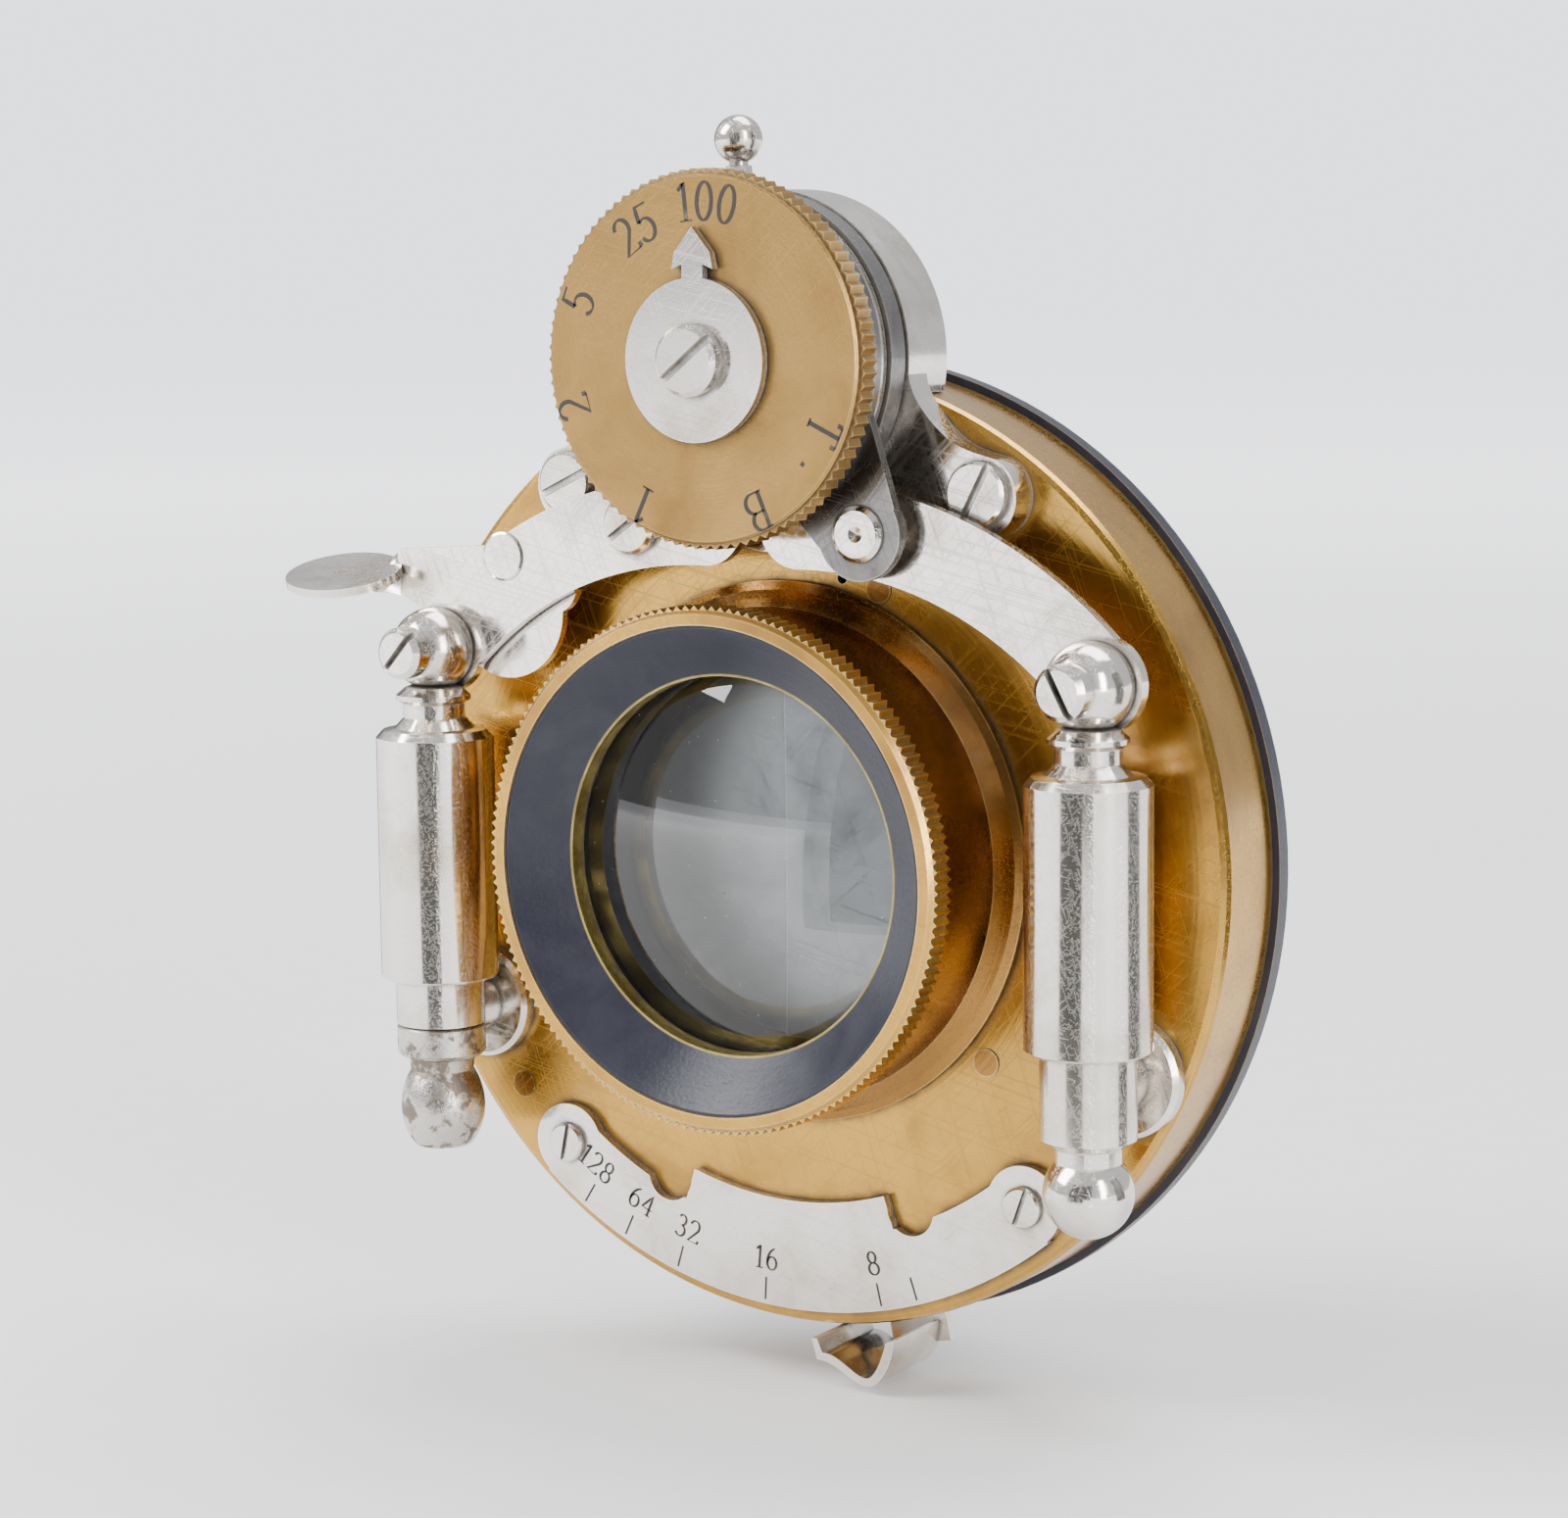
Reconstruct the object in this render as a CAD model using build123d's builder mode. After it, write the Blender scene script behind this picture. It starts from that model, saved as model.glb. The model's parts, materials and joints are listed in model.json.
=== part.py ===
"""Small double lens in a round brass between-lens shutter with two air pumps.

Frame: millimetres, +Z up, +X to the right seen from the front, +Y backwards. The origin is on the
lens axis in the seat plane, where the back plate rests on a lens board. Heights are counted
forward from that seat, so height h lies at Y = -h. Angles of the aperture scale are counted from
straight down, positive towards +X.
"""
from build123d import *
import math
import os

os.makedirs("parts", exist_ok=True)

# ---- Case -------------------------------------------------------------------------------------
CASE_R = 31.0            # radius of the brass case
PLATE_R = 31.5           # radius of the black back plate
PLATE_T = 1.2            # its thickness
CASE_D = 6.2             # depth of the brass case
CASE_WALL = 2.2
FACE_T = 0.9             # thickness of the case's front
FACE = PLATE_T + CASE_D  # height of the case's front face
INNER_R = CASE_R - CASE_WALL
LIGHT_R = 10.3           # radius of the fixed light opening

# ---- Lens cells -------------------------------------------------------------------------------
STOP = 3.0               # height of the iris, the plane of symmetry of the two cells
GLASS_R = 12.6           # outer radius of the glass
CLEAR_R = 11.7           # clear radius inside the glass seats
CELL_R = 14.6            # thread radius of the rear cell
FRONT_CELL_R = 15.2      # thread radius of the front cell
HOOD_R = 14.3            # bore for the black hood in the front cell
RING_R = 13.4            # bore for the retaining rings
RIM_R = 16.6             # knurled rim of the front cell
RIM_H = 17.4             # height of its front edge
TUBE_R = 15.9            # outside of the front tube
BOSS_R = 17.25           # outside of the mounting boss
BOSS_L = 7.0             # how far it stands out behind the seat
BOSS_NECK_R = 16.6       # where it passes through the back plate
PLATE_BORE_R = 17.45     # clear of the boss, so that a board's edge meets the seat beside it
FLANGE_R = 18.9          # the boss's flange, which holds the back plate against the case
OUTER_CURVE, CEMENT_CURVE, INNER_CURVE = 36.0, 22.0, 34.0   # radii of the glass surfaces
OUTER_VERTEX, CEMENT_VERTEX, INNER_VERTEX = 15.3, 13.9, 10.9

# ---- Iris -------------------------------------------------------------------------------------
BLADES = 5
BLADE_PIN_R = 24.5       # pivots and drive pins lie on this circle
BLADE_SPAN = 153.5       # angle from a blade's pivot to its drive pin
BLADE_IN, BLADE_OUT = 12.6, 21.5
BLADE_OPENING = 7.65     # how far the blades stand from fully open at rest
RING_LOW, RING_T = 1.35, 0.6
BLADE_LOW, BLADE_T, BLADE_STEP = 2.2, 0.15, 0.27
PARTITION_LOW, PARTITION_T = 3.6, 0.6
LEVER_ANGLE = 11.0       # aperture lever at rest, from straight down

# ---- Dial and drum ----------------------------------------------------------------------------
DIAL_Z = 31.6            # height of the dial's axis above the lens axis
DIAL_R = 11.6
DIAL_LOW, DIAL_T = 15.3, 1.8
DRUM_R = 10.3
ARBOR_R = 1.5
BRACKET_R, BRACKET_T = 10.4, 2.2
SETTING_LOW, SETTING_T = 11.6, 0.8
BRIDGE_LOW, BRIDGE_T = 12.5, 0.7

# ---- Arms and pumps ---------------------------------------------------------------------------
PIVOT_X, PIVOT_Z = 8.85, 21.0     # pivots of the two curved arms
ARM_LOW, ARM_T, ARM_W = 10.8, 0.8, 5.5
PUMP_X, PUMP_H = 24.4, 12.7       # pump axes: distance from the lens axis, and height
BALL_Z, BALL_R = 12.4, 2.75
SLEEVE_R, TUBE_BORE = 3.9, 2.25
CYLINDER_R = 2.95
SLEEVE_BOTTOM, SLEEVE_TOP = -9.5, 7.1
CYLINDER_BOTTOM = -14.8
FOOT_Z = -12.0
RUN = 0.08                        # running clearance on a radius
RETARD_SWING, RELEASE_SWING = 12.0, 8.0
PIN_R = 0.8                       # shanks of the ball screws


def level(h):
    """Sketch plane at height h, facing forwards: sketch x is X and sketch y is Z."""
    return Plane.XZ.offset(h)


def polar(radius, degrees, x=0.0, z=0.0):
    """Point at a radius and an angle about (x, z), with the angle counted from +X towards +Z."""
    turn_by = math.radians(degrees)
    return (x + radius * math.cos(turn_by), z + radius * math.sin(turn_by))


def turned(outline, x=0.0, z=0.0, mode=Mode.ADD):
    """Add a body of revolution about the line parallel to Y through (x, z): points are (radius, h)."""
    with BuildSketch(Plane(origin=(x, 0, z), x_dir=(1, 0, 0), z_dir=(0, 0, 1))) as half:
        with BuildLine():
            Polyline(*[(r, -h) for r, h in outline], close=True)
        make_face()
    revolve(half.sketch, axis=Axis((x, 0, z), (0, 1, 0)), mode=mode)


def upright(outline, x, h, mode=Mode.ADD):
    """Add a body of revolution about the vertical line at x and height h: points are (radius, z)."""
    with BuildSketch(Plane(origin=(x, -h, 0), x_dir=(1, 0, 0), z_dir=(0, -1, 0))) as half:
        with BuildLine():
            Polyline(*outline, close=True)
        make_face()
    revolve(half.sketch, axis=Axis((x, -h, 0), (0, 0, 1)), mode=mode)


def disc(radius, low, high, x=0.0, z=0.0, mode=Mode.ADD):
    """Add or cut a round disc, pin or hole between two heights."""
    turned([(0, low), (radius, low), (radius, high), (0, high)], x, z, mode)


def teeth(radius, depth, count):
    """Corner points of a round edge with straight V-shaped knurling."""
    step = 360 / count
    crests = [polar(radius, k * step) for k in range(count)]
    roots = [polar(radius - depth, (k + 0.5) * step) for k in range(count)]
    return [point for pair in zip(crests, roots) for point in pair]


def sag(curve, radius):
    """Depth of a sphere of radius curve at a distance radius from its axis."""
    return curve - math.sqrt(curve**2 - radius**2)


def meniscus(outer_vertex, outer_curve, inner_vertex, inner_curve, side):
    """Add one glass whose two spheres bulge the same way: forwards for side 1, backwards for -1."""
    def surface(vertex, curve, r):
        distance = vertex - STOP - sag(curve, r)
        return (r, -(STOP + side * distance))

    with BuildSketch(Plane.XY) as half:
        with BuildLine():
            outer = [surface(outer_vertex, outer_curve, r) for r in (0, GLASS_R / 2, GLASS_R)]
            inner = [surface(inner_vertex, inner_curve, r) for r in (GLASS_R, GLASS_R / 2, 0)]
            ThreePointArc(*outer)
            Line(outer[-1], inner[0])
            ThreePointArc(*inner)
            Line(inner[-1], outer[0])
        make_face()
    revolve(half.sketch, axis=Axis.Y)


def slotted_screw(head_r, low, head_t, shank_r, shank_low, x, z, slot_angle):
    """Add a cheese-head screw with a bevelled, slotted head that stands on height low."""
    bevel, slot_w, slot_d = 0.25 * head_t, 0.27 * head_r, 0.45 * head_t
    top = low + head_t
    turned([(0, shank_low), (shank_r, shank_low), (shank_r, low), (head_r, low),
            (head_r, top - bevel), (head_r - bevel, top), (0, top)], x, z)
    with BuildSketch(level(top - slot_d)) as slot:
        with Locations((x, z)):
            Rectangle(3 * head_r, slot_w, rotation=slot_angle)
    extrude(slot.sketch, amount=slot_d + 1, mode=Mode.SUBTRACT)


def finish(builder, name):
    """Label a finished piece and write its STEP file."""
    builder.part.label = name
    export_step(builder.part, f"parts/{name}.step")


# ===== Case and mounting =========================================================================
SCALE_SCREWS = [(-17.4, -21.0), (17.4, -21.0)]
BRACKET_SCREWS = [(-15.3, 23.4), (15.3, 23.4)]
POSTS = [(-21.5, -17.6), (6.8, 17.1), (14.4, -12.3)]
POST_R = 0.9
PLATE_SCREW_ANGLES = [45, 135, 200, 340]
PLATE_SCREW_R = 29.9
LEVER_SLOT = 32.0        # half angle of the slot for the aperture lever

with BuildPart() as case_shell:
    edge = 0.5
    turned([(12.5, FACE), (12.5, FACE - FACE_T), (INNER_R, FACE - FACE_T), (INNER_R, PLATE_T),
            (CASE_R, PLATE_T), (CASE_R, FACE - edge), (CASE_R - 0.3 * edge, FACE - 0.3 * edge),
            (CASE_R - edge, FACE)])
    for x, z in POSTS:
        disc(POST_R, FACE - 2, FACE + 1, x, z, Mode.SUBTRACT)
    for x, z in SCALE_SCREWS:
        disc(0.6, FACE - 2, FACE + 1, x, z, Mode.SUBTRACT)
    for x, z in BRACKET_SCREWS:
        disc(0.7, FACE - 2, FACE + 1, x, z, Mode.SUBTRACT)
    disc(1.1 + RUN, FACE - 2, FACE + 1, -PIVOT_X, PIVOT_Z, Mode.SUBTRACT)
    disc(1.1, FACE - 2, FACE + 1, PIVOT_X, PIVOT_Z, Mode.SUBTRACT)
    disc(0.35, FACE - 2, FACE + 1, 4.1, 17.7, Mode.SUBTRACT)
    for angle in PLATE_SCREW_ANGLES:
        disc(0.5, PLATE_T - 1, 4.0, *polar(PLATE_SCREW_R, angle), mode=Mode.SUBTRACT)
    with BuildSketch(level(PLATE_T)):
        with BuildLine():
            Polyline((0, 0), polar(60, 270 - LEVER_SLOT), polar(60, 270 + LEVER_SLOT), close=True)
        make_face()
        Circle(20, mode=Mode.SUBTRACT)
    extrude(amount=0.95, mode=Mode.SUBTRACT)
finish(case_shell, "case_shell")

with BuildPart() as back_plate:
    turned([(PLATE_BORE_R, 0), (PLATE_R, 0), (PLATE_R, PLATE_T), (PLATE_BORE_R, PLATE_T)])
    for angle in PLATE_SCREW_ANGLES:
        turned([(0, 0), (0.95, 0), (0.5, 0.5), (0.5, PLATE_T), (0, PLATE_T)],
               *polar(PLATE_SCREW_R, angle), Mode.SUBTRACT)
finish(back_plate, "back_plate")

with BuildPart() as back_plate_screws:
    for angle in PLATE_SCREW_ANGLES:
        turned([(0, 0), (0.95, 0), (0.5, 0.5), (0.5, 4.0), (0, 4.0)], *polar(PLATE_SCREW_R, angle))
finish(back_plate_screws, "back_plate_screws")

with BuildPart() as mount_boss:
    turned([(CELL_R, -BOSS_L), (BOSS_R, -BOSS_L), (BOSS_R, 0), (BOSS_NECK_R, 0), (BOSS_NECK_R, PLATE_T),
            (FLANGE_R, PLATE_T), (FLANGE_R, 2.0), (13.0, 2.0), (13.0, -1.6), (CELL_R, -1.6)])
finish(mount_boss, "mount_boss")

with BuildPart() as frame_posts:
    for x, z in POSTS:
        disc(POST_R, PARTITION_LOW, FACE + 0.1, x, z)
finish(frame_posts, "frame_posts")

# ===== Front cell ================================================================================
with BuildPart() as front_tube:
    turned([(FRONT_CELL_R, FACE), (17.45, FACE), (17.45, FACE + 0.5), (16.9, FACE + 0.8),
            (TUBE_R, FACE + 1.7), (TUBE_R, 15.45), (FRONT_CELL_R, 15.45)])
finish(front_tube, "front_tube")

SEAT_H = OUTER_VERTEX - 2.0          # front face of the glass edge
SHOULDER_H = INNER_VERTEX - sag(INNER_CURVE, GLASS_R)
RIM_LOW, RIM_TOP = 15.45, 17.1       # knurled stretch of the rim
KNURL_DEPTH = 0.35
HOOD_SHELF = 16.1                    # the hood's flange rests here

with BuildPart() as front_cell:
    turned([(CLEAR_R, 7.6), (FRONT_CELL_R, 7.6), (FRONT_CELL_R, RIM_LOW), (RIM_R - 0.5, RIM_LOW),
            (RIM_R - 0.5, RIM_TOP), (RIM_R - 0.25, RIM_TOP), (RIM_R - 0.5, RIM_H), (15.4, RIM_H),
            (15.4, HOOD_SHELF), (HOOD_R, HOOD_SHELF), (HOOD_R, SEAT_H + 1.3), (RING_R, SEAT_H + 1.3),
            (RING_R, SEAT_H), (GLASS_R, SEAT_H), (GLASS_R, SHOULDER_H), (CLEAR_R, SHOULDER_H)])
    with BuildSketch(level(RIM_LOW)):
        with BuildLine():
            Polyline(*teeth(RIM_R, KNURL_DEPTH, 160), close=True)
        make_face()
        Circle(RIM_R - 0.5, mode=Mode.SUBTRACT)
    extrude(amount=RIM_TOP - RIM_LOW)
finish(front_cell, "front_cell")

with BuildPart() as front_hood:
    turned([(12.1, SEAT_H + 1.3), (15.2, 17.25), (15.4, 17.25), (15.4, HOOD_SHELF), (HOOD_R, HOOD_SHELF),
            (HOOD_R, SEAT_H + 1.3)])
finish(front_hood, "front_hood")

with BuildPart() as front_glass_ring:
    turned([(12.0, SEAT_H), (RING_R, SEAT_H), (RING_R, SEAT_H + 1.3), (12.0, SEAT_H + 1.3)])
finish(front_glass_ring, "front_glass_ring")

with BuildPart() as front_flint_glass:
    meniscus(OUTER_VERTEX, OUTER_CURVE, CEMENT_VERTEX, CEMENT_CURVE, 1)
finish(front_flint_glass, "front_flint_glass")

with BuildPart() as front_crown_glass:
    meniscus(CEMENT_VERTEX, CEMENT_CURVE, INNER_VERTEX, INNER_CURVE, 1)
finish(front_crown_glass, "front_crown_glass")

# ===== Rear cell, the mirror image of the front one about the iris ===============================
REAR_SEAT = 2 * STOP - SEAT_H
REAR_SHOULDER = 2 * STOP - SHOULDER_H
REAR_END = -10.0

with BuildPart() as rear_cell:
    turned([(CLEAR_R, -1.6), (CELL_R, -1.6), (CELL_R, -BOSS_L), (16.1, -BOSS_L), (16.1, REAR_END),
            (RING_R, REAR_END), (RING_R, REAR_SEAT), (GLASS_R, REAR_SEAT), (GLASS_R, REAR_SHOULDER),
            (CLEAR_R, REAR_SHOULDER)])
    with BuildSketch(level(REAR_END + 0.3)):
        with BuildLine():
            Polyline(*teeth(16.5, KNURL_DEPTH, 128), close=True)
        make_face()
        Circle(16.1, mode=Mode.SUBTRACT)
    extrude(amount=2.3)
finish(rear_cell, "rear_cell")

with BuildPart() as rear_glass_ring:
    turned([(12.0, REAR_SEAT), (RING_R, REAR_SEAT), (RING_R, REAR_SEAT - 1.3), (12.0, REAR_SEAT - 1.3)])
finish(rear_glass_ring, "rear_glass_ring")

with BuildPart() as rear_flint_glass:
    meniscus(OUTER_VERTEX, OUTER_CURVE, CEMENT_VERTEX, CEMENT_CURVE, -1)
finish(rear_flint_glass, "rear_flint_glass")

with BuildPart() as rear_crown_glass:
    meniscus(CEMENT_VERTEX, CEMENT_CURVE, INNER_VERTEX, INNER_CURVE, -1)
finish(rear_crown_glass, "rear_crown_glass")

# ===== Iris ======================================================================================
PIVOT_ANGLES = [20 + 360 / BLADES * k for k in range(BLADES)]


def blade_frame(pivot_angle):
    """Centre of a blade's crescent at rest, and the angle of its pivot seen from there."""
    pivot = polar(BLADE_PIN_R, pivot_angle)
    inward = polar(BLADE_PIN_R, pivot_angle + 180 - BLADE_OPENING)
    return (pivot[0] + inward[0], pivot[1] + inward[1]), pivot_angle - BLADE_OPENING


def drive_pin(pivot_angle):
    """Where a blade's drive pin stands at rest."""
    centre, start = blade_frame(pivot_angle)
    return polar(BLADE_PIN_R, start - BLADE_SPAN, *centre)


with BuildPart() as iris_ring:
    turned([(18.9 + RUN, RING_LOW), (28.3, RING_LOW), (28.3, RING_LOW + RING_T),
            (18.9 + RUN, RING_LOW + RING_T)])
    for angle in PIVOT_ANGLES:
        x, z = drive_pin(angle)
        with BuildSketch(level(RING_LOW)) as slot:
            with Locations((x, z)):
                SlotOverall(3.0, 1.5, rotation=math.degrees(math.atan2(z, x)))
        extrude(slot.sketch, amount=RING_T, mode=Mode.SUBTRACT)
finish(iris_ring, "iris_ring")

for k, angle in enumerate(PIVOT_ANGLES):
    centre, start = blade_frame(angle)
    low = BLADE_LOW + k * BLADE_STEP
    middle_r = (BLADE_IN + BLADE_OUT) / 2
    with BuildPart() as iris_blade:
        crescent = ThreePointArc(*[polar(middle_r, start - turn, *centre)
                                   for turn in (12, BLADE_SPAN / 2, BLADE_SPAN - 12)], mode=Mode.PRIVATE)
        with BuildSketch(level(low)):
            SlotArc(crescent, BLADE_OUT - BLADE_IN)
            for lug_angle in (start, start - BLADE_SPAN):
                with Locations(polar(BLADE_PIN_R - 3, lug_angle, *centre)):
                    Rectangle(6, 1.8, rotation=lug_angle)
                with Locations(polar(BLADE_PIN_R, lug_angle, *centre)):
                    Circle(1.1)
        extrude(amount=BLADE_T)
        disc(0.4, low, PARTITION_LOW + 0.5, *polar(BLADE_PIN_R, angle))
        disc(0.35, RING_LOW + 0.05, low, *drive_pin(angle))
    finish(iris_blade, f"iris_blade_{k + 1}")

with BuildPart() as aperture_lever:
    strip_angle = 270 + LEVER_ANGLE
    with BuildSketch(level(RING_LOW + 0.05)):
        with Locations(polar(30.9, strip_angle)):
            Rectangle(5.2, 4.4, rotation=strip_angle)
        Circle(28.3, mode=Mode.SUBTRACT)
    extrude(amount=0.5)
    with BuildSketch(level(RING_LOW + 0.05)):
        with BuildLine():
            Spline((7.7, -31.2), (7.2, -33.2), (6.0, -34.4), (3.9, -33.7), (2.0, -33.2))
            Line((2.0, -33.2), (1.6, -31.8))
            Line((1.6, -31.8), (2.0, -31.8))
            Line((2.0, -31.8), (2.4, -32.7))
            Spline((2.4, -32.7), (4.0, -33.15), (5.9, -33.85), (6.7, -32.8), (7.2, -31.35))
            Line((7.2, -31.35), (7.7, -31.2))
        make_face()
    extrude(amount=6.5)
finish(aperture_lever, "aperture_lever")

with BuildPart() as partition_plate:
    turned([(LIGHT_R, PARTITION_LOW), (INNER_R - 0.2, PARTITION_LOW),
            (INNER_R - 0.2, PARTITION_LOW + PARTITION_T), (LIGHT_R, PARTITION_LOW + PARTITION_T)])
    for angle in PIVOT_ANGLES:
        disc(0.4 + RUN, 0, 9, *polar(BLADE_PIN_R, angle), mode=Mode.SUBTRACT)
    for x, z in POSTS:
        disc(POST_R, 0, 9, x, z, Mode.SUBTRACT)
    disc(0.6, PARTITION_LOW, 5.6, 0, PIVOT_Z)
finish(partition_plate, "partition_plate")

# ===== Shutter leaves and their crank ============================================================
LEAF_T = 0.25
LEAF_LOWS = {"right": 5.15, "left": 4.65}
NEAR_PIN = PIVOT_X / 5               # drives the right leaf, left of the leaf pivot
FAR_PIN = PIVOT_X / 3                # drives the left leaf, right of the leaf pivot
CRANK_LOW, CRANK_T = 5.75, 0.5

for name, side, pin in (("right", 1, -NEAR_PIN), ("left", -1, FAR_PIN)):
    with BuildPart() as shutter_leaf:
        with BuildSketch(level(LEAF_LOWS[name])):
            Circle(11.7)
            with Locations((-side * 20.9, 0)):
                Rectangle(40, 40, mode=Mode.SUBTRACT)
            with BuildLine():
                Polyline((-side * 0.9, 5), (-side * 0.9, PIVOT_Z), (side * 0.7, PIVOT_Z),
                         (side * 0.7, PIVOT_Z - 3.6), (side * 4.5, 10.6), (side * 4.5, 5), close=True)
            make_face()
            with Locations((0, PIVOT_Z)):
                Circle(1.3)
            with Locations((pin / 2, PIVOT_Z)):
                Rectangle(abs(pin), 2.4)
            with Locations((pin * 1.05, PIVOT_Z)):
                Circle(1.35)
                SlotOverall(1.6, 1.15, mode=Mode.SUBTRACT)
            with Locations((0, PIVOT_Z)):
                Circle(0.6 + RUN, mode=Mode.SUBTRACT)
        extrude(amount=LEAF_T)
    finish(shutter_leaf, f"shutter_leaf_{name}")

with BuildPart() as drive_crank:
    with BuildSketch(level(CRANK_LOW)):
        with Locations(((FAR_PIN - PIVOT_X) / 2, PIVOT_Z)):
            Rectangle(FAR_PIN + PIVOT_X, 1.8)
        with Locations((-PIVOT_X, PIVOT_Z)):
            Circle(1.9)
        with Locations((FAR_PIN, PIVOT_Z)):
            Circle(0.9)
        with Locations((-PIVOT_X, PIVOT_Z)):
            Circle(1.1, mode=Mode.SUBTRACT)
    extrude(amount=CRANK_T)
    disc(0.35, LEAF_LOWS["right"] - 0.1, CRANK_LOW, -NEAR_PIN, PIVOT_Z)
    disc(0.35, LEAF_LOWS["left"] - 0.1, CRANK_LOW, FAR_PIN, PIVOT_Z)
finish(drive_crank, "drive_crank")

# ===== Bracket, drum and speed dial ==============================================================
BRACKET_TOP = FACE + BRACKET_T
SKIRT_LOW = 5.0                      # back edge of the cup around the mainspring
DRUM_TOP = SETTING_LOW - 0.1

with BuildPart() as bracket:
    with BuildSketch(level(FACE)):
        with Locations((0, DIAL_Z)):
            Circle(BRACKET_R)
        with BuildLine():
            Line((-10.35, 30.6), (10.35, 30.6))
            Spline((10.35, 30.6), (11.2, 28.6), (13.4, 26.5), (16.4, 25.5),
                   tangents=((0.1, -1), (1, -0.25)))
            ThreePointArc((16.4, 25.5), (17.8, 22.9), (15.9, 20.7))
            ThreePointArc((15.9, 20.7), (0, 19.4), (-15.9, 20.7))
            ThreePointArc((-15.9, 20.7), (-17.8, 22.9), (-16.4, 25.5))
            Spline((-16.4, 25.5), (-13.4, 26.5), (-11.2, 28.6), (-10.35, 30.6),
                   tangents=((1, 0.25), (0.1, 1)))
        make_face()
    extrude(amount=BRACKET_T)
    with BuildSketch(level(SKIRT_LOW)):
        with Locations((0, DIAL_Z)):
            Circle(BRACKET_R)
            Circle(BRACKET_R - 0.8, mode=Mode.SUBTRACT)
        Circle(CASE_R + 0.1, mode=Mode.SUBTRACT)
    extrude(amount=FACE - SKIRT_LOW)
    for x, z in BRACKET_SCREWS:
        disc(0.7, 0, 20, x, z, Mode.SUBTRACT)
    disc(1.1 + RUN, 0, 20, -PIVOT_X, PIVOT_Z, Mode.SUBTRACT)
    disc(1.1, 0, 20, PIVOT_X, PIVOT_Z, Mode.SUBTRACT)
finish(bracket, "bracket")

with BuildPart() as bracket_screws:
    for (x, z), slot_angle in zip(BRACKET_SCREWS, (25, 62)):
        slotted_screw(2.0, BRACKET_TOP, 0.75, 0.7, FACE - FACE_T, x, z, slot_angle)
finish(bracket_screws, "bracket_screws")

with BuildPart() as dial_arbor:
    disc(ARBOR_R, BRACKET_TOP, DIAL_LOW + DIAL_T + 0.1, 0, DIAL_Z)
    disc(0.8, 13.0, 20, 0, DIAL_Z, Mode.SUBTRACT)
finish(dial_arbor, "dial_arbor")

with BuildPart() as drum_base:
    turned([(ARBOR_R, BRACKET_TOP), (DRUM_R - 0.3, BRACKET_TOP), (DRUM_R, BRACKET_TOP + 0.3),
            (DRUM_R, DRUM_TOP), (ARBOR_R, DRUM_TOP)], 0, DIAL_Z)
finish(drum_base, "drum_base")

KNOB_X, KNOB_Z, KNOB_R = -0.3, 45.0, 1.5
STEM_TOP = KNOB_Z - KNOB_R - 0.1

with BuildPart() as setting_lever:
    with BuildSketch(level(SETTING_LOW)):
        with Locations((0, DIAL_Z)):
            Circle(DRUM_R - 0.3)
        with BuildLine():
            Polyline((KNOB_X - 1.5, 38), (KNOB_X - 0.7, STEM_TOP), (KNOB_X + 0.7, STEM_TOP),
                     (KNOB_X + 1.5, 38), close=True)
        make_face()
        with Locations((0, DIAL_Z)):
            Circle(ARBOR_R + RUN, mode=Mode.SUBTRACT)
    extrude(amount=SETTING_T)
finish(setting_lever, "setting_lever")

with BuildPart() as setting_knob:
    knob_h = SETTING_LOW + SETTING_T / 2
    upright([(0, STEM_TOP), (0.6, STEM_TOP), (0.55, KNOB_Z - 1), (0, KNOB_Z - 1)], KNOB_X, knob_h)
    with Locations((KNOB_X, -knob_h, KNOB_Z)):
        Sphere(KNOB_R)
finish(setting_knob, "setting_knob")

with BuildPart() as bridge_plate:
    with BuildSketch(level(BRIDGE_LOW)):
        with Locations((0, DIAL_Z)):
            Circle(DRUM_R - 0.1)
        with BuildLine():
            Polyline((3.2, 23.0), (6.1, 20.0), (11.4, 22.6), (9.4, 29.0), close=True)
        make_face()
        with Locations((PIVOT_X, PIVOT_Z)):
            Circle(2.9)
            Circle(1.1, mode=Mode.SUBTRACT)
        with Locations((0, DIAL_Z)):
            Circle(ARBOR_R, mode=Mode.SUBTRACT)
    extrude(amount=BRIDGE_T)
finish(bridge_plate, "bridge_plate")

DRUM_LOW, DRUM_TOP, DRUM_WALL = BRIDGE_LOW + BRIDGE_T, DIAL_LOW - 0.15, 0.7

with BuildPart() as spring_drum:
    turned([(DRUM_R - 0.1 - DRUM_WALL, DRUM_LOW), (DRUM_R - 0.1, DRUM_LOW), (DRUM_R - 0.1, DRUM_TOP - 0.5),
            (DRUM_R - 0.5, DRUM_TOP), (ARBOR_R, DRUM_TOP), (ARBOR_R, DRUM_TOP - 0.5),
            (DRUM_R - 0.1 - DRUM_WALL, DRUM_TOP - 0.5)], 0, DIAL_Z)
finish(spring_drum, "spring_drum")

with BuildPart() as mainspring:
    first_r, pitch, half_turns, strip_t = 2.0, 1.3, 10, 0.35
    ends = [(-1) ** k * (first_r + k * pitch / 2) for k in range(half_turns + 1)]
    turns = []
    for k in range(half_turns):
        middle, radius = (ends[k] + ends[k + 1]) / 2, abs(ends[k] - ends[k + 1]) / 2
        crown = DIAL_Z + radius * (-1) ** k
        turns.append(ThreePointArc((ends[k], DIAL_Z), (middle, crown), (ends[k + 1], DIAL_Z),
                                   mode=Mode.PRIVATE))
    with BuildSketch(level(DRUM_LOW + 0.15)):
        for turn in turns:
            SlotArc(turn, strip_t)
    extrude(amount=DRUM_TOP - DRUM_LOW - 0.8)
finish(mainspring, "mainspring")

DIAL_TOP = DIAL_LOW + DIAL_T
LIP_R, LIP_T = 11.25, 0.4            # plain lip in front of the dial's knurling

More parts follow.
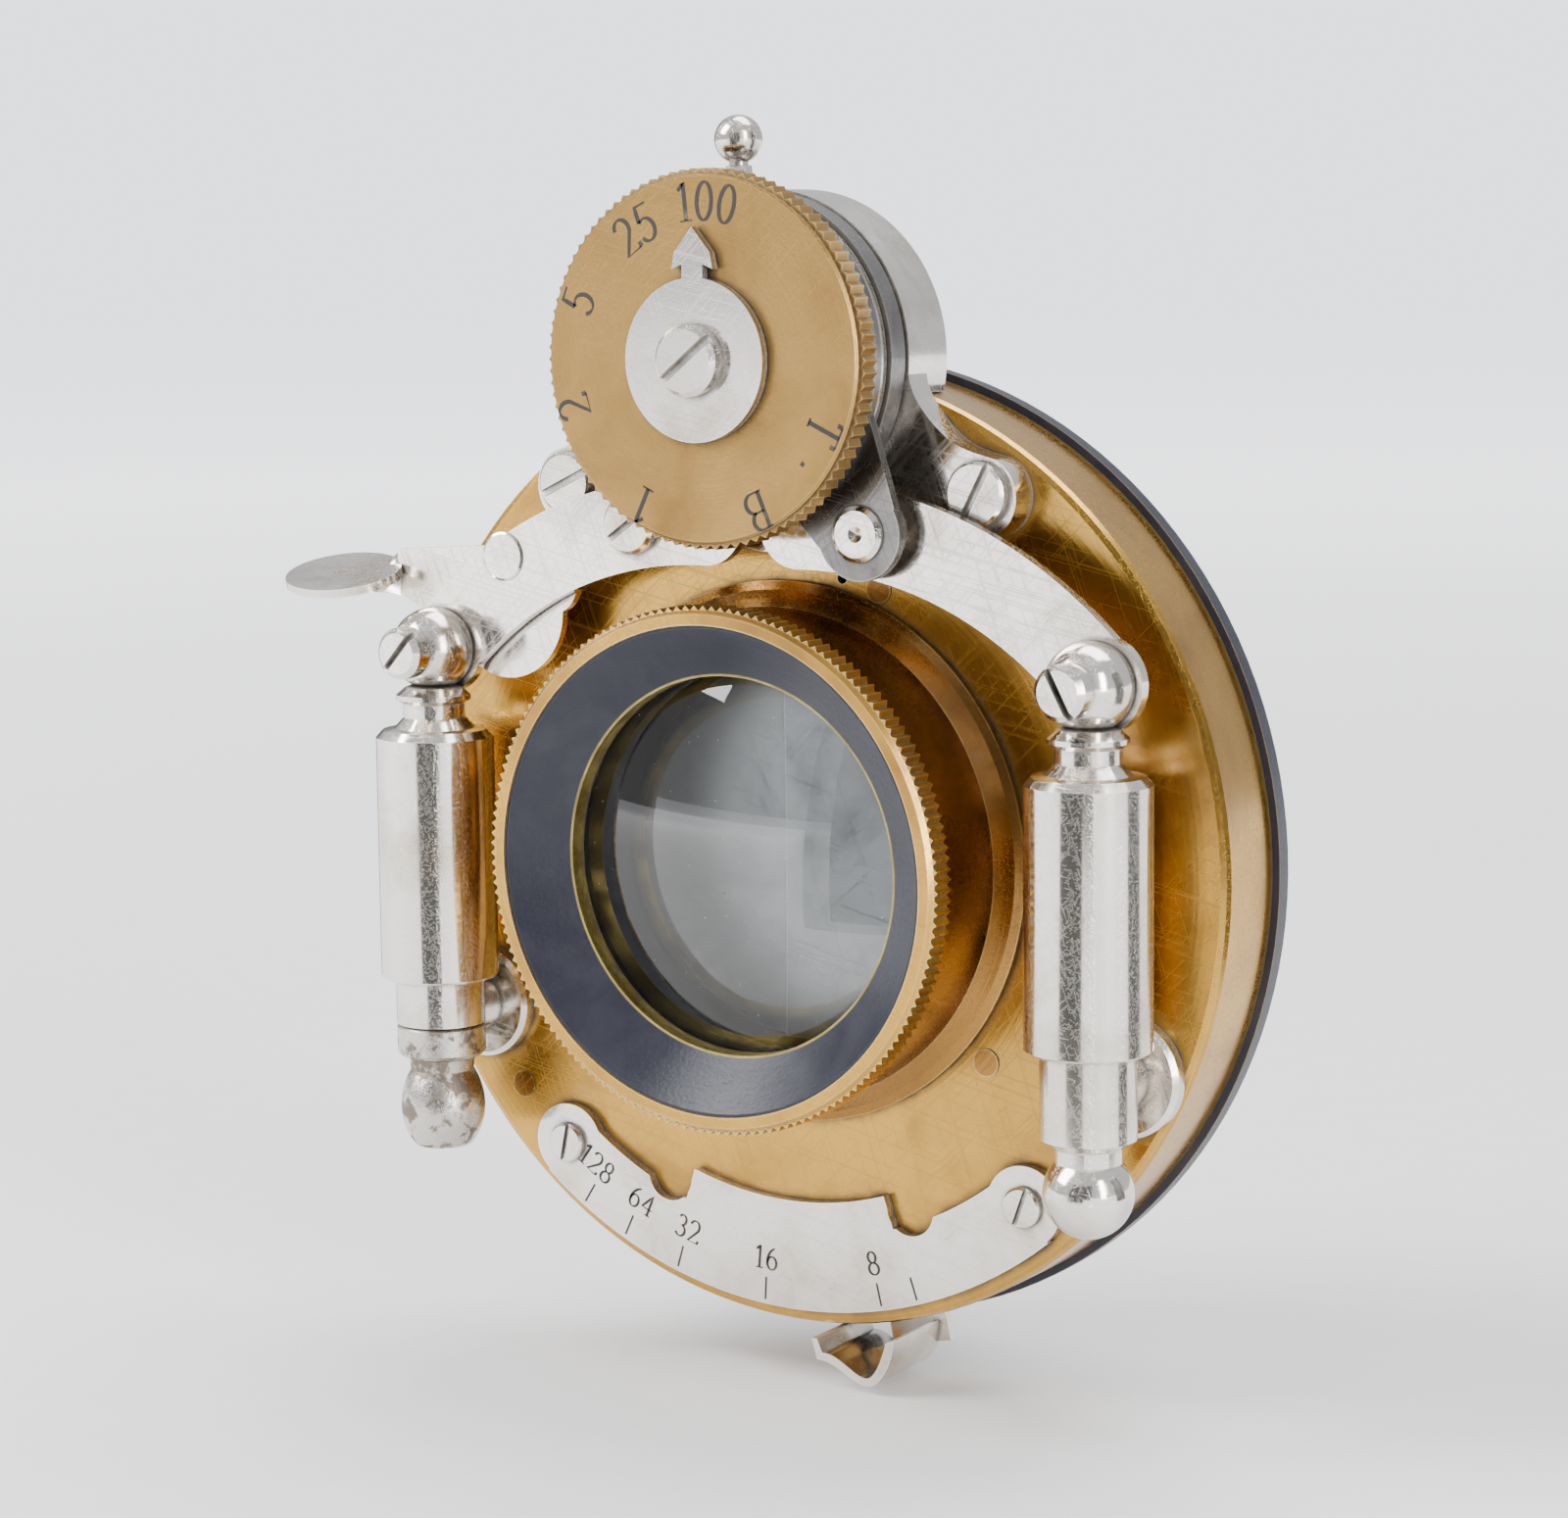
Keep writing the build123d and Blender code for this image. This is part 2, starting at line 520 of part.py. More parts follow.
with BuildPart() as speed_dial:
    with BuildSketch(level(DIAL_LOW)):
        with Locations((0, DIAL_Z)):
            with BuildLine():
                Polyline(*[(x, z + DIAL_Z) for x, z in teeth(DIAL_R, 0.3, 96)], close=True)
            make_face()
            Circle(ARBOR_R + RUN, mode=Mode.SUBTRACT)
    extrude(amount=DIAL_T - LIP_T)
    turned([(ARBOR_R + RUN, DIAL_TOP - LIP_T), (LIP_R, DIAL_TOP - LIP_T), (LIP_R, DIAL_TOP - 0.15),
            (LIP_R - 0.15, DIAL_TOP), (ARBOR_R + RUN, DIAL_TOP)], 0, DIAL_Z)
finish(speed_dial, "speed_dial")

POINTER_LOW = DIAL_TOP + 0.1
POINTER_T = 0.6

with BuildPart() as dial_pointer:
    with BuildSketch(level(POINTER_LOW)):
        with Locations((0, DIAL_Z)):
            Circle(5.0)
        with BuildLine():
            Polyline((-0.75, DIAL_Z + 4.8), (-0.75, DIAL_Z + 5.8), (-1.5, DIAL_Z + 5.5), (-1.3, DIAL_Z + 6.5),
                     (0, DIAL_Z + 8.05), (1.3, DIAL_Z + 6.5), (1.5, DIAL_Z + 5.5), (0.75, DIAL_Z + 5.8),
                     (0.75, DIAL_Z + 4.8), close=True)
        make_face()
        with Locations((0, DIAL_Z)):
            Circle(0.8, mode=Mode.SUBTRACT)
    extrude(amount=POINTER_T)
finish(dial_pointer, "dial_pointer")

with BuildPart() as dial_screw:
    slotted_screw(2.2, POINTER_LOW + POINTER_T, 1.15, 0.8, 13.0, 0, DIAL_Z, 38)
finish(dial_screw, "dial_screw")

# ===== Curved arms ===============================================================================
def arm_outline(side):
    """Points of an arm's centre line: tail under the dial, crown of the bow, and the pump's ball."""
    return [(side * 3.4, 21.3), (side * 16.4, 18.4), (side * PUMP_X, BALL_Z)]


def lift(swing):
    """How far a pump's ball rises when its arm swings by this many degrees."""
    angle = math.radians(swing)
    return (PUMP_X - PIVOT_X) * math.sin(angle) + (PIVOT_Z - BALL_Z) * (1 - math.cos(angle))


def slot_end(side, swing):
    """Where the ball screw stands in the arm once the arm has swung, in the arm's rest position."""
    angle = -side * math.radians(swing)
    x = side * (PUMP_X - PIVOT_X)
    z = BALL_Z + lift(swing) - PIVOT_Z
    turned_x = x * math.cos(angle) - z * math.sin(angle)
    turned_z = x * math.sin(angle) + z * math.cos(angle)
    return (side * PIVOT_X + turned_x, PIVOT_Z + turned_z)


for name, side, swing in (("retard", 1, RETARD_SWING), ("release", -1, RELEASE_SWING)):
    start_x, start_z = side * PUMP_X, BALL_Z
    end_x, end_z = slot_end(side, swing)
    slot_length = math.hypot(end_x - start_x, end_z - start_z)
    slot_angle = math.degrees(math.atan2(end_z - start_z, end_x - start_x))
    pivot_hole = 1.1 + (RUN if name == "retard" else 0)
    with BuildPart() as curved_arm:
        bow = ThreePointArc(*arm_outline(side), mode=Mode.PRIVATE)
        with BuildSketch(level(ARM_LOW)):
            SlotArc(bow, ARM_W)
            with Locations((start_x, start_z)):
                Circle(3.0)
            with Locations((0, DIAL_Z)):
                Circle(DRUM_R + 0.5, mode=Mode.SUBTRACT)
            with Locations((side * PIVOT_X, PIVOT_Z)):
                Circle(pivot_hole, mode=Mode.SUBTRACT)
            with Locations(((start_x + end_x) / 2, (start_z + end_z) / 2)):
                SlotCenterToCenter(slot_length, 2 * (PIN_R + 0.2), rotation=slot_angle, mode=Mode.SUBTRACT)
        extrude(amount=ARM_T)
    finish(curved_arm, f"{name}_arm")

ARM_TOP = ARM_LOW + ARM_T

with BuildPart() as retard_pivot:
    turned([(0, FACE - FACE_T), (1.1, FACE - FACE_T), (1.1, ARM_TOP + 0.1), (2.0, ARM_TOP + 0.1),
            (2.0, BRIDGE_LOW), (1.1, BRIDGE_LOW), (1.1, DRUM_LOW), (1.75, DRUM_LOW), (1.75, DRUM_LOW + 0.2),
            (1.45, DRUM_LOW + 0.4), (0.5, DRUM_LOW + 0.4), (0, DRUM_LOW + 0.15)], PIVOT_X, PIVOT_Z)
finish(retard_pivot, "retard_pivot")

with BuildPart() as release_staff:
    slotted_screw(1.9, ARM_TOP, 0.9, 1.1, CRANK_LOW - 0.1, -PIVOT_X, PIVOT_Z, 35)
finish(release_staff, "release_staff")

with BuildPart() as release_rivet:
    turned([(0, ARM_TOP), (1.6, ARM_TOP), (1.6, ARM_TOP + 0.06), (1.45, ARM_TOP + 0.12), (0, ARM_TOP + 0.12)],
           -19.3, 18.6)
finish(release_rivet, "release_rivet")

# ===== Finger lever ==============================================================================
FINGER_X, FINGER_Z = -19.9, 15.0
FINGER_LOW, FINGER_T = 9.9, 0.6
TAB = (-32.5, -11.8, 16.9)           # middle of the thumb tab
TAB_PLANE = Plane(origin=TAB, x_dir=(1, 0, 0.05), z_dir=(0, -0.34, 0.94))

with BuildPart() as finger_lever:
    with BuildSketch(level(FINGER_LOW)):
        with Locations((FINGER_X, FINGER_Z)):
            Circle(4.5)
        with Locations((-16.4, 17.0)):
            Circle(2.2)
        with BuildLine():
            Polyline((-20.8, 19.2), (-28.9, 18.7), (-28.9, 15.8), (-23.4, 12.6), close=True)
        make_face()
        with Locations((FINGER_X, FINGER_Z)):
            Circle(0.9 + RUN, mode=Mode.SUBTRACT)
    extrude(amount=FINGER_T)
    with BuildSketch(Plane(origin=(-28.7, -10.2, 17.1), x_dir=(0, 1, 0), z_dir=(-1, 0, 0))) as neck_root:
        Rectangle(0.56, 3.0)
    with BuildSketch(Plane(origin=(-30.5, -11.4, 16.8), x_dir=(0, 1, 0.36), z_dir=(-1, 0, 0))) as neck_end:
        Rectangle(3.2, 0.5)
    loft(sections=[neck_root.sketch.face(), neck_end.sketch.face()])
    with BuildSketch(TAB_PLANE.offset(-0.3)):
        Ellipse(4.4, 3.1)
        SlotOverall(1.3, 0.6, rotation=25, mode=Mode.SUBTRACT)
    extrude(amount=0.6)
finish(finger_lever, "finger_lever")

with BuildPart() as finger_pivot:
    turned([(0, FACE), (2.0, FACE), (2.0, FINGER_LOW - 0.1), (0.9, FINGER_LOW - 0.1),
            (0.9, FINGER_LOW + 0.62), (0, FINGER_LOW + 0.62)], FINGER_X, FINGER_Z)
finish(finger_pivot, "finger_pivot")

# ===== Air pumps =================================================================================
SLEEVE_BORE = CYLINDER_R + RUN
CAVITY_TOP = 5.5
BALL_FRONT, BALL_BACK = PUMP_H + 2.55, ARM_TOP + 0.15
FLAT_DROP = 4.15                     # the flat behind the ball reaches this far below its middle
PISTON_TOP, PISTON_BOTTOM = -6.0, -8.0

for name, side, slot_angle in (("retard", 1, 118), ("release", -1, 48)):
    x = side * PUMP_X
    bottom = CYLINDER_BOTTOM if name == "retard" else CYLINDER_BOTTOM + 2.2
    with BuildPart() as sleeve:
        upright([(0, CAVITY_TOP), (SLEEVE_BORE, CAVITY_TOP), (SLEEVE_BORE, SLEEVE_BOTTOM),
                 (SLEEVE_R - 0.15, SLEEVE_BOTTOM), (SLEEVE_R, SLEEVE_BOTTOM + 0.15),
                 (SLEEVE_R, SLEEVE_TOP - 0.5), (SLEEVE_R - 0.45, SLEEVE_TOP),
                 (2.7, SLEEVE_TOP + 0.1), (2.05, SLEEVE_TOP + 0.8),
                 (2.05, SLEEVE_TOP + 1.7), (2.5, SLEEVE_TOP + 2.0), (2.5, SLEEVE_TOP + 2.3),
                 (1.9, SLEEVE_TOP + 2.8), (0, SLEEVE_TOP + 3.4)], x, PUMP_H)
        with Locations((x, -PUMP_H, BALL_Z)):
            Sphere(BALL_R)
        disc(4, BALL_FRONT, BALL_FRONT + 2, x, BALL_Z, Mode.SUBTRACT)
        with BuildSketch(level(BALL_BACK)) as flat:
            with Locations((x, BALL_Z)):
                Rectangle(8, 2 * FLAT_DROP)
        extrude(flat.sketch, amount=-4, mode=Mode.SUBTRACT)
        disc(PIN_R, 5, 20, x, BALL_Z, Mode.SUBTRACT)
    finish(sleeve, f"{name}_sleeve")

    with BuildPart() as ball_screw:
        slotted_screw(1.7, BALL_FRONT, 1.4, PIN_R, ARM_LOW + 0.05, x, BALL_Z, slot_angle)
    finish(ball_screw, f"{name}_screw")

    with BuildPart() as cylinder:
        upright([(TUBE_BORE, bottom), (CYLINDER_R, bottom), (CYLINDER_R, CAVITY_TOP - 0.5),
                 (TUBE_BORE, CAVITY_TOP - 0.5)], x, PUMP_H)
    finish(cylinder, f"{name}_cylinder")

    with BuildPart() as piston:
        upright([(0, PISTON_BOTTOM), (TUBE_BORE - RUN, PISTON_BOTTOM), (TUBE_BORE - RUN, PISTON_TOP),
                 (0.7, PISTON_TOP), (0.7, CAVITY_TOP), (0, CAVITY_TOP)], x, PUMP_H)
    finish(piston, f"{name}_piston")

    with BuildPart() as cup:
        upright([(0, PISTON_BOTTOM), (TUBE_BORE - RUN, PISTON_BOTTOM), (TUBE_BORE - RUN, PISTON_BOTTOM - 1.6),
                 (1.7, PISTON_BOTTOM - 1.6), (1.7, PISTON_BOTTOM - 0.5), (0, PISTON_BOTTOM - 0.5)], x, PUMP_H)
    finish(cup, f"{name}_cup")

with BuildPart() as pump_feet:
    for side in (-1, 1):
        x = side * PUMP_X
        turned([(0, FACE), (3.8, FACE), (3.8, FACE + 0.8), (3.5, FACE + 1.1), (0, FACE + 1.1)], x, FOOT_Z)
        disc(1.9, FACE + 1.0, PUMP_H - 1.0, x, FOOT_Z)
        upright([(0, -25), (CYLINDER_R, -25), (CYLINDER_R, 10), (0, 10)], x, PUMP_H, Mode.SUBTRACT)
finish(pump_feet, "pump_feet")

PLUG_TOP = CYLINDER_BOTTOM + 2.0
END_BALL_Z, END_BALL_R = -18.2, 2.8

with BuildPart() as vent_plug:
    upright([(0, PLUG_TOP), (TUBE_BORE, PLUG_TOP), (TUBE_BORE, CYLINDER_BOTTOM), (2.6, CYLINDER_BOTTOM),
             (2.05, CYLINDER_BOTTOM - 0.6), (2.05, -17), (0, -17)], PUMP_X, PUMP_H)
    with Locations((PUMP_X, -PUMP_H, END_BALL_Z)):
        Sphere(END_BALL_R)
    upright([(0, -25), (0.35, -25), (0.35, -10), (0, -10)], PUMP_X, PUMP_H, Mode.SUBTRACT)
finish(vent_plug, "vent_plug")

NIPPLE_TOP = CYLINDER_BOTTOM + 2.2

with BuildPart() as hose_nipple:
    with BuildSketch(Plane(origin=(-PUMP_X, -PUMP_H, 0), x_dir=(1, 0, 0), z_dir=(0, -1, 0))) as half:
        with BuildLine():
            Polyline((0.9, -20.9), (0.9, NIPPLE_TOP + 1.4), (TUBE_BORE, NIPPLE_TOP + 1.4),
                     (TUBE_BORE, NIPPLE_TOP), (2.7, NIPPLE_TOP),
                     (CYLINDER_R, NIPPLE_TOP - 0.25), (CYLINDER_R, CYLINDER_BOTTOM + 0.25),
                     (2.7, CYLINDER_BOTTOM), (2.2, CYLINDER_BOTTOM - 0.2), (2.1, CYLINDER_BOTTOM - 1.0))
            Spline((2.1, CYLINDER_BOTTOM - 1.0), (2.75, -17.6), (2.7, -19.3), (1.9, -20.9))
            Line((1.9, -20.9), (0.9, -20.9))
        make_face()
    revolve(half.sketch, axis=Axis((-PUMP_X, -PUMP_H, 0), (0, 0, 1)), mode=Mode.ADD)
finish(hose_nipple, "hose_nipple")

# ===== Aperture scale ============================================================================
SCALE_T = 0.7
SCALE_OUT, SCALE_IN, SCALE_MID = 30.0, 25.0, 22.8
SCALE_END, SCALE_STEP = 39.6, 18.5   # half angles of the strip's ends and of its raised middle


def sector(inner, outer, half_angle, mode=Mode.ADD):
    """Ring sector about the lens axis, centred straight down."""
    left, right = 270 - half_angle, 270 + half_angle
    with BuildSketch() as piece:
        with BuildLine():
            ThreePointArc(polar(outer, left), polar(outer, 270), polar(outer, right))
            Line(polar(outer, right), polar(inner, right))
            ThreePointArc(polar(inner, right), polar(inner, 270), polar(inner, left))
            Line(polar(inner, left), polar(outer, left))
        make_face()
    add(piece.sketch_local, mode=mode)


with BuildPart() as aperture_scale:
    with BuildSketch(level(FACE)):
        sector(SCALE_IN, SCALE_OUT, SCALE_END)
        sector(SCALE_MID, SCALE_IN + 0.5, SCALE_STEP)
        for x, z in SCALE_SCREWS:
            with Locations((x, z)):
                Circle(2.6)
        for side in (-1, 1):
            with Locations(polar(24.1, 270 + side * 22.4)):
                Circle(1.7, mode=Mode.SUBTRACT)
        for x, z in SCALE_SCREWS:
            with Locations((x, z)):
                Circle(0.6, mode=Mode.SUBTRACT)
    extrude(amount=SCALE_T)
finish(aperture_scale, "aperture_scale")

with BuildPart() as scale_screws:
    for (x, z), slot_angle in zip(SCALE_SCREWS, (78, 70)):
        slotted_screw(1.3, FACE + SCALE_T, 0.5, 0.6, FACE - FACE_T, x, z, slot_angle)
finish(scale_screws, "scale_screws")

print("pump lift per radian:", lift(RETARD_SWING) / math.radians(RETARD_SWING),
      lift(RELEASE_SWING) / math.radians(RELEASE_SWING))
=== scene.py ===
# %% [markdown]
# # A small double lens in a brass shutter with two air pumps
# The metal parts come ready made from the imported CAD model. This lesson gives them their finishes,
# polishes the two lenses, cuts the numbers into the dial and the scale, and lights the whole for a
# picture. Everything is in metres, with the lens axis along Y and its front towards minus Y.

# %% Load the frame and measure it
import json
import math

import bmesh
import bpy
import numpy as np
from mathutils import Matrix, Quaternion, Vector


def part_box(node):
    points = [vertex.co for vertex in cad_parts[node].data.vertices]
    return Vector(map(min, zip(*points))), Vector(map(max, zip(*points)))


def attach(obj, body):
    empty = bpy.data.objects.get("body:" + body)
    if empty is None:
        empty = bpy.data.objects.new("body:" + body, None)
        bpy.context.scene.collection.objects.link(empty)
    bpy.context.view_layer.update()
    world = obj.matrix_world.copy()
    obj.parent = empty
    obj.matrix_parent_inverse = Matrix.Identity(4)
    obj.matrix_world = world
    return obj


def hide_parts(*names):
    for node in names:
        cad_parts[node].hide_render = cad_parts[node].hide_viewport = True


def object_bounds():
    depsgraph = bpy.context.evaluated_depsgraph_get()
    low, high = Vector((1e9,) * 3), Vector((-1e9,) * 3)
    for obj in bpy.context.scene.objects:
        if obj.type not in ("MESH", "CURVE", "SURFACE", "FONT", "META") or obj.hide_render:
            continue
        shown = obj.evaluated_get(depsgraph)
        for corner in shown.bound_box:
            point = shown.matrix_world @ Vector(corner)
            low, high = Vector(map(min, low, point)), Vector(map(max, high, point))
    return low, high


MM = 0.001
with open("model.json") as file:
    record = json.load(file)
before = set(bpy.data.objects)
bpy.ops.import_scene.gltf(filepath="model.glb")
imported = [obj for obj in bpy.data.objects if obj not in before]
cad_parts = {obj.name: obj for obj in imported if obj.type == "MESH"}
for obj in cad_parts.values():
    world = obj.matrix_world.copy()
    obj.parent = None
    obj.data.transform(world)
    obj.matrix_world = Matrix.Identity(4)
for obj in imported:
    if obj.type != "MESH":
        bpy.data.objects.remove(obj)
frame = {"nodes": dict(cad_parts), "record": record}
cad_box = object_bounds()
dial_low, dial_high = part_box("speed_dial")
dial_axis = (dial_low + dial_high) / 2
dial_radius = (dial_high.x - dial_low.x) / 2
print("nodes:", len(frame["nodes"]), "dial radius in mm:", round(dial_radius / MM, 2))

# %% [markdown]
# The camera comes first, because it decides what has to be looked after most. It stands a little
# above the lens and to its right, about a forearm's length away, which is near enough for the dial
# to look clearly larger than the case behind it. A long focal length then fills the picture.

# %% Camera
AZIMUTH, ELEVATION, DISTANCE = math.radians(32.6), math.radians(7.6), 0.239
ROLL = math.radians(-0.6)
middle = Vector((0.0, -0.008, (cad_box[0].z + cad_box[1].z) / 2))
towards_camera = Vector((math.sin(AZIMUTH) * math.cos(ELEVATION),
                         -math.cos(AZIMUTH) * math.cos(ELEVATION), math.sin(ELEVATION)))
camera = bpy.data.objects.new("camera", bpy.data.cameras.new("camera"))
bpy.context.collection.objects.link(camera)
camera.data.lens = 86.0
camera.data.clip_start, camera.data.clip_end = 0.01, 50.0
camera.location = middle + towards_camera * DISTANCE
camera.rotation_mode = "QUATERNION"
camera.rotation_quaternion = (Quaternion(towards_camera, ROLL)
                              @ (-towards_camera).to_track_quat("-Z", "Y"))
bpy.context.scene.camera = camera
print("camera at", [round(c, 3) for c in camera.location])

# %% [markdown]
# Polished metal shows its surroundings more than itself, so the light is a few large soft panels
# in a pale room. An area light panel is never seen by the camera. The camera sees the room
# brighter than the metal does, so that the background is nearly white, and the far floor glows up
# to the same brightness, so that no line shows where the floor ends.

# %% World and soft lights
ROOM = (0.93, 0.95, 1.0, 1)
world = bpy.data.worlds.new("pale room")
world.use_nodes = True
sky = world.node_tree
seen = sky.nodes["Background"]
around = sky.nodes.new("ShaderNodeBackground")
chosen = sky.nodes.new("ShaderNodeMixShader")
rays = sky.nodes.new("ShaderNodeLightPath")
for background, strength in ((seen, 2.4), (around, 0.80)):
    background.inputs["Color"].default_value = ROOM
    background.inputs["Strength"].default_value = strength
sky.links.new(rays.outputs["Is Camera Ray"], chosen.inputs["Fac"])
sky.links.new(around.outputs["Background"], chosen.inputs[1])
sky.links.new(seen.outputs["Background"], chosen.inputs[2])
sky.links.new(chosen.outputs["Shader"], sky.nodes["World Output"].inputs["Surface"])
bpy.context.scene.world = world


def around_the_lens(azimuth, elevation, distance):
    """A point at a compass angle from the front, an angle above the floor and a distance."""
    a, e = math.radians(azimuth), math.radians(elevation)
    return distance * Vector((math.sin(a) * math.cos(e), -math.cos(a) * math.cos(e), math.sin(e)))


LIGHTS = {
    "key panel": ((-52, 38, 1.0), (0.50, 0.60), 15.0),
    "side panel": ((66, 14, 0.9), (0.20, 0.80), 8.0),
    "top panel": ((170, 72, 0.9), (0.80, 0.50), 9.0),
}
for name, (place, size, watts) in LIGHTS.items():
    light = bpy.data.lights.new(name, "AREA")
    light.shape = "RECTANGLE"
    light.size, light.size_y = size
    light.energy = watts
    lamp = bpy.data.objects.new(name, light)
    lamp.location = around_the_lens(*place)
    lamp.rotation_euler = (middle - lamp.location).to_track_quat("-Z", "Y").to_euler()
    bpy.context.collection.objects.link(lamp)
print("lights:", ", ".join(LIGHTS))

# %% [markdown]
# Meshes of our own are surfaces on a grid: a table of points with rows and columns, where each
# small square of four neighbours becomes a face. Points that fall together, at a pole or a seam,
# are merged afterwards, and the faces are then turned outwards.


# %% Helpers for meshes
def grid_faces(rows, columns, wrap_columns=False):
    """Corner numbers of every square of a grid: (i, j), (i+1, j), (i+1, j+1), (i, j+1)."""
    i = np.arange(rows - 1)[:, None]
    j = np.arange(columns if wrap_columns else columns - 1)[None, :]
    below, beside = i + 1, (j + 1) % columns
    corners = [i * columns + j, below * columns + j, below * columns + beside, i * columns + beside]
    return np.stack(np.broadcast_arrays(*corners), axis=-1).reshape(-1, 4)


def piece(name, points, faces, materials, sharp=30):
    """Make an object from points and faces, merge doubles, turn the faces outwards and smooth it."""
    mesh = bpy.data.meshes.new(name)
    mesh.from_pydata(np.asarray(points).reshape(-1, 3).tolist(), [], np.asarray(faces).tolist())
    tidy = bmesh.new()
    tidy.from_mesh(mesh)
    bmesh.ops.remove_doubles(tidy, verts=tidy.verts, dist=1e-7)
    bmesh.ops.recalc_face_normals(tidy, faces=tidy.faces)
    tidy.to_mesh(mesh)
    tidy.free()
    mesh.polygons.foreach_set("use_smooth", np.ones(len(mesh.polygons), bool))
    mesh.set_sharp_from_angle(angle=math.radians(sharp))
    for material in materials:
        mesh.materials.append(material)
    made = bpy.data.objects.new(name, mesh)
    bpy.context.collection.objects.link(made)
    return made


def lathe(radii, heights, turns=160):
    """Points of a turned shape: each profile point (r, h) runs round to (r cos a, -h, r sin a)."""
    a = np.linspace(0, 2 * np.pi, turns, endpoint=False)[None, :]
    r, h = np.asarray(radii)[:, None], np.asarray(heights)[:, None]
    return np.stack([r * np.cos(a), -h + 0 * a, r * np.sin(a)], axis=-1)


print("a grid of 3 by 4 points has", len(grid_faces(3, 4)), "squares")

# %% [markdown]
# The object stands over a plain pale floor, just clear of its lowest point. One wide disc is
# enough, and it is part of the stage, not of the object.

# %% Floor
def node(tree, kind, inputs=None, **settings):
    """Add a shader node. An input given as a socket is linked, any other value is typed in."""
    made = tree.nodes.new("ShaderNode" + kind)
    for key, value in settings.items():
        setattr(made, key, value)
    for key, value in (inputs or {}).items():
        if isinstance(value, bpy.types.NodeSocket):
            tree.links.new(value, made.inputs[key])
        else:
            made.inputs[key].default_value = value
    return made


def material_with_shader(name):
    """A new material, its node tree and its Principled BSDF."""
    material = bpy.data.materials.new(name)
    material.use_nodes = True
    return material, material.node_tree, material.node_tree.nodes["Principled BSDF"]


paper, tree, shader = material_with_shader("pale paper")
fibres = node(tree, "TexNoise", {"Vector": node(tree, "TexCoord").outputs["Object"], "Scale": 260.0})
tint = node(tree, "MapRange", {"Value": fibres.outputs["Fac"], "To Min": 0.80, "To Max": 0.84})
tree.links.new(tint.outputs["Result"], shader.inputs["Base Color"])
shader.inputs["Roughness"].default_value = 0.75
FLOOR_GLOW = {"From Min": 0.12, "From Max": 1.1, "To Min": 0.0, "To Max": 1.75}
from_middle = node(tree, "VectorMath", {0: node(tree, "TexCoord").outputs["Object"]},
                   operation="LENGTH")
glow = node(tree, "MapRange", {"Value": from_middle.outputs["Value"], **FLOOR_GLOW},
            interpolation_type="SMOOTHSTEP")
shader.inputs["Emission Color"].default_value = ROOM
tree.links.new(glow.outputs["Result"], shader.inputs["Emission Strength"])

FLOOR_RADIUS, FLOOR_SIDES, FLOOR_GAP = 4.0, 96, 0.6 * MM
floor_z = cad_box[0].z - FLOOR_GAP
rim = np.linspace(0, 2 * np.pi, FLOOR_SIDES, endpoint=False)
floor = piece("floor", np.stack([FLOOR_RADIUS * np.cos(rim), FLOOR_RADIUS * np.sin(rim),
                                 rim * 0 + floor_z], axis=-1), [list(range(FLOOR_SIDES))], [paper])
print("floor at", round(floor_z / MM, 1), "mm")

# %% [markdown]
# A round bright barrel in an evenly pale room looks flat, so photographers of silver stand dark
# cards around it. Each card is a wedge that rises from the floor close to the object, because the
# barrels mirror the near floor, and it shows in the barrels as one long dark streak. The camera
# and the shadows don't see the cards.

# %% Dark cards
felt, tree, shader = material_with_shader("brown felt")
nap = node(tree, "TexNoise", {"Vector": node(tree, "TexCoord").outputs["Object"], "Scale": 40.0})
tint = node(tree, "MapRange", {"Value": nap.outputs["Fac"], "To Min": 0.035, "To Max": 0.06})
tree.links.new(tint.outputs["Result"], shader.inputs["Base Color"])
shader.inputs["Roughness"].default_value = 0.95

CARDS = {"front card": (8, 18, 0.10), "camera card": (30, 9, 0.26),
         "right card": (104, 12, 0.10), "back left card": (-122, 10, 0.12)}
CARD_FAR, CARD_TOP = 0.75, 0.42
for name, (azimuth, half_angle, near) in CARDS.items():
    corners = [around_the_lens(azimuth + side * half_angle, 0, distance)
               for side, distance in ((-1, near), (1, near), (1, CARD_FAR), (-1, CARD_FAR))]
    heights = [floor_z, floor_z, CARD_TOP, CARD_TOP]
    card = piece(name, [(c.x, c.y, z) for c, z in zip(corners, heights)], [[0, 1, 2, 3]], [felt])
    card.visible_camera = card.visible_shadow = card.visible_diffuse = False
print("cards:", ", ".join(CARDS))

# %% [markdown]
# Old metal never has one even finish. Five effects are shared by all the finishes here, so each is
# a node group that is built once: patches of tarnish, hairline scratches, the rings that a lathe
# tool leaves, dirt with painted shade in the corners, and bright worn edges. A group gives a mask or
# a height, and each material decides what to do with it.


# %% Start a node group
def new_group(name, inputs, outputs):
    """A shader node group with float or vector sockets; returns it with its in and out nodes."""
    group = bpy.data.node_groups.new(name, "ShaderNodeTree")
    for socket, kind, value in inputs:
        made = group.interface.new_socket(socket, in_out="INPUT", socket_type="NodeSocket" + kind)
        if kind == "Float":
            made.default_value = value
    for socket in outputs:
        group.interface.new_socket(socket, in_out="OUTPUT", socket_type="NodeSocketFloat")
    return group, group.nodes.new("NodeGroupInput"), group.nodes.new("NodeGroupOutput")


def maths(tree, operation, first, second=0.0, third=0.0):
    """The result of one Math node."""
    return node(tree, "Math", {0: first, 1: second, 2: third}, operation=operation).outputs[0]


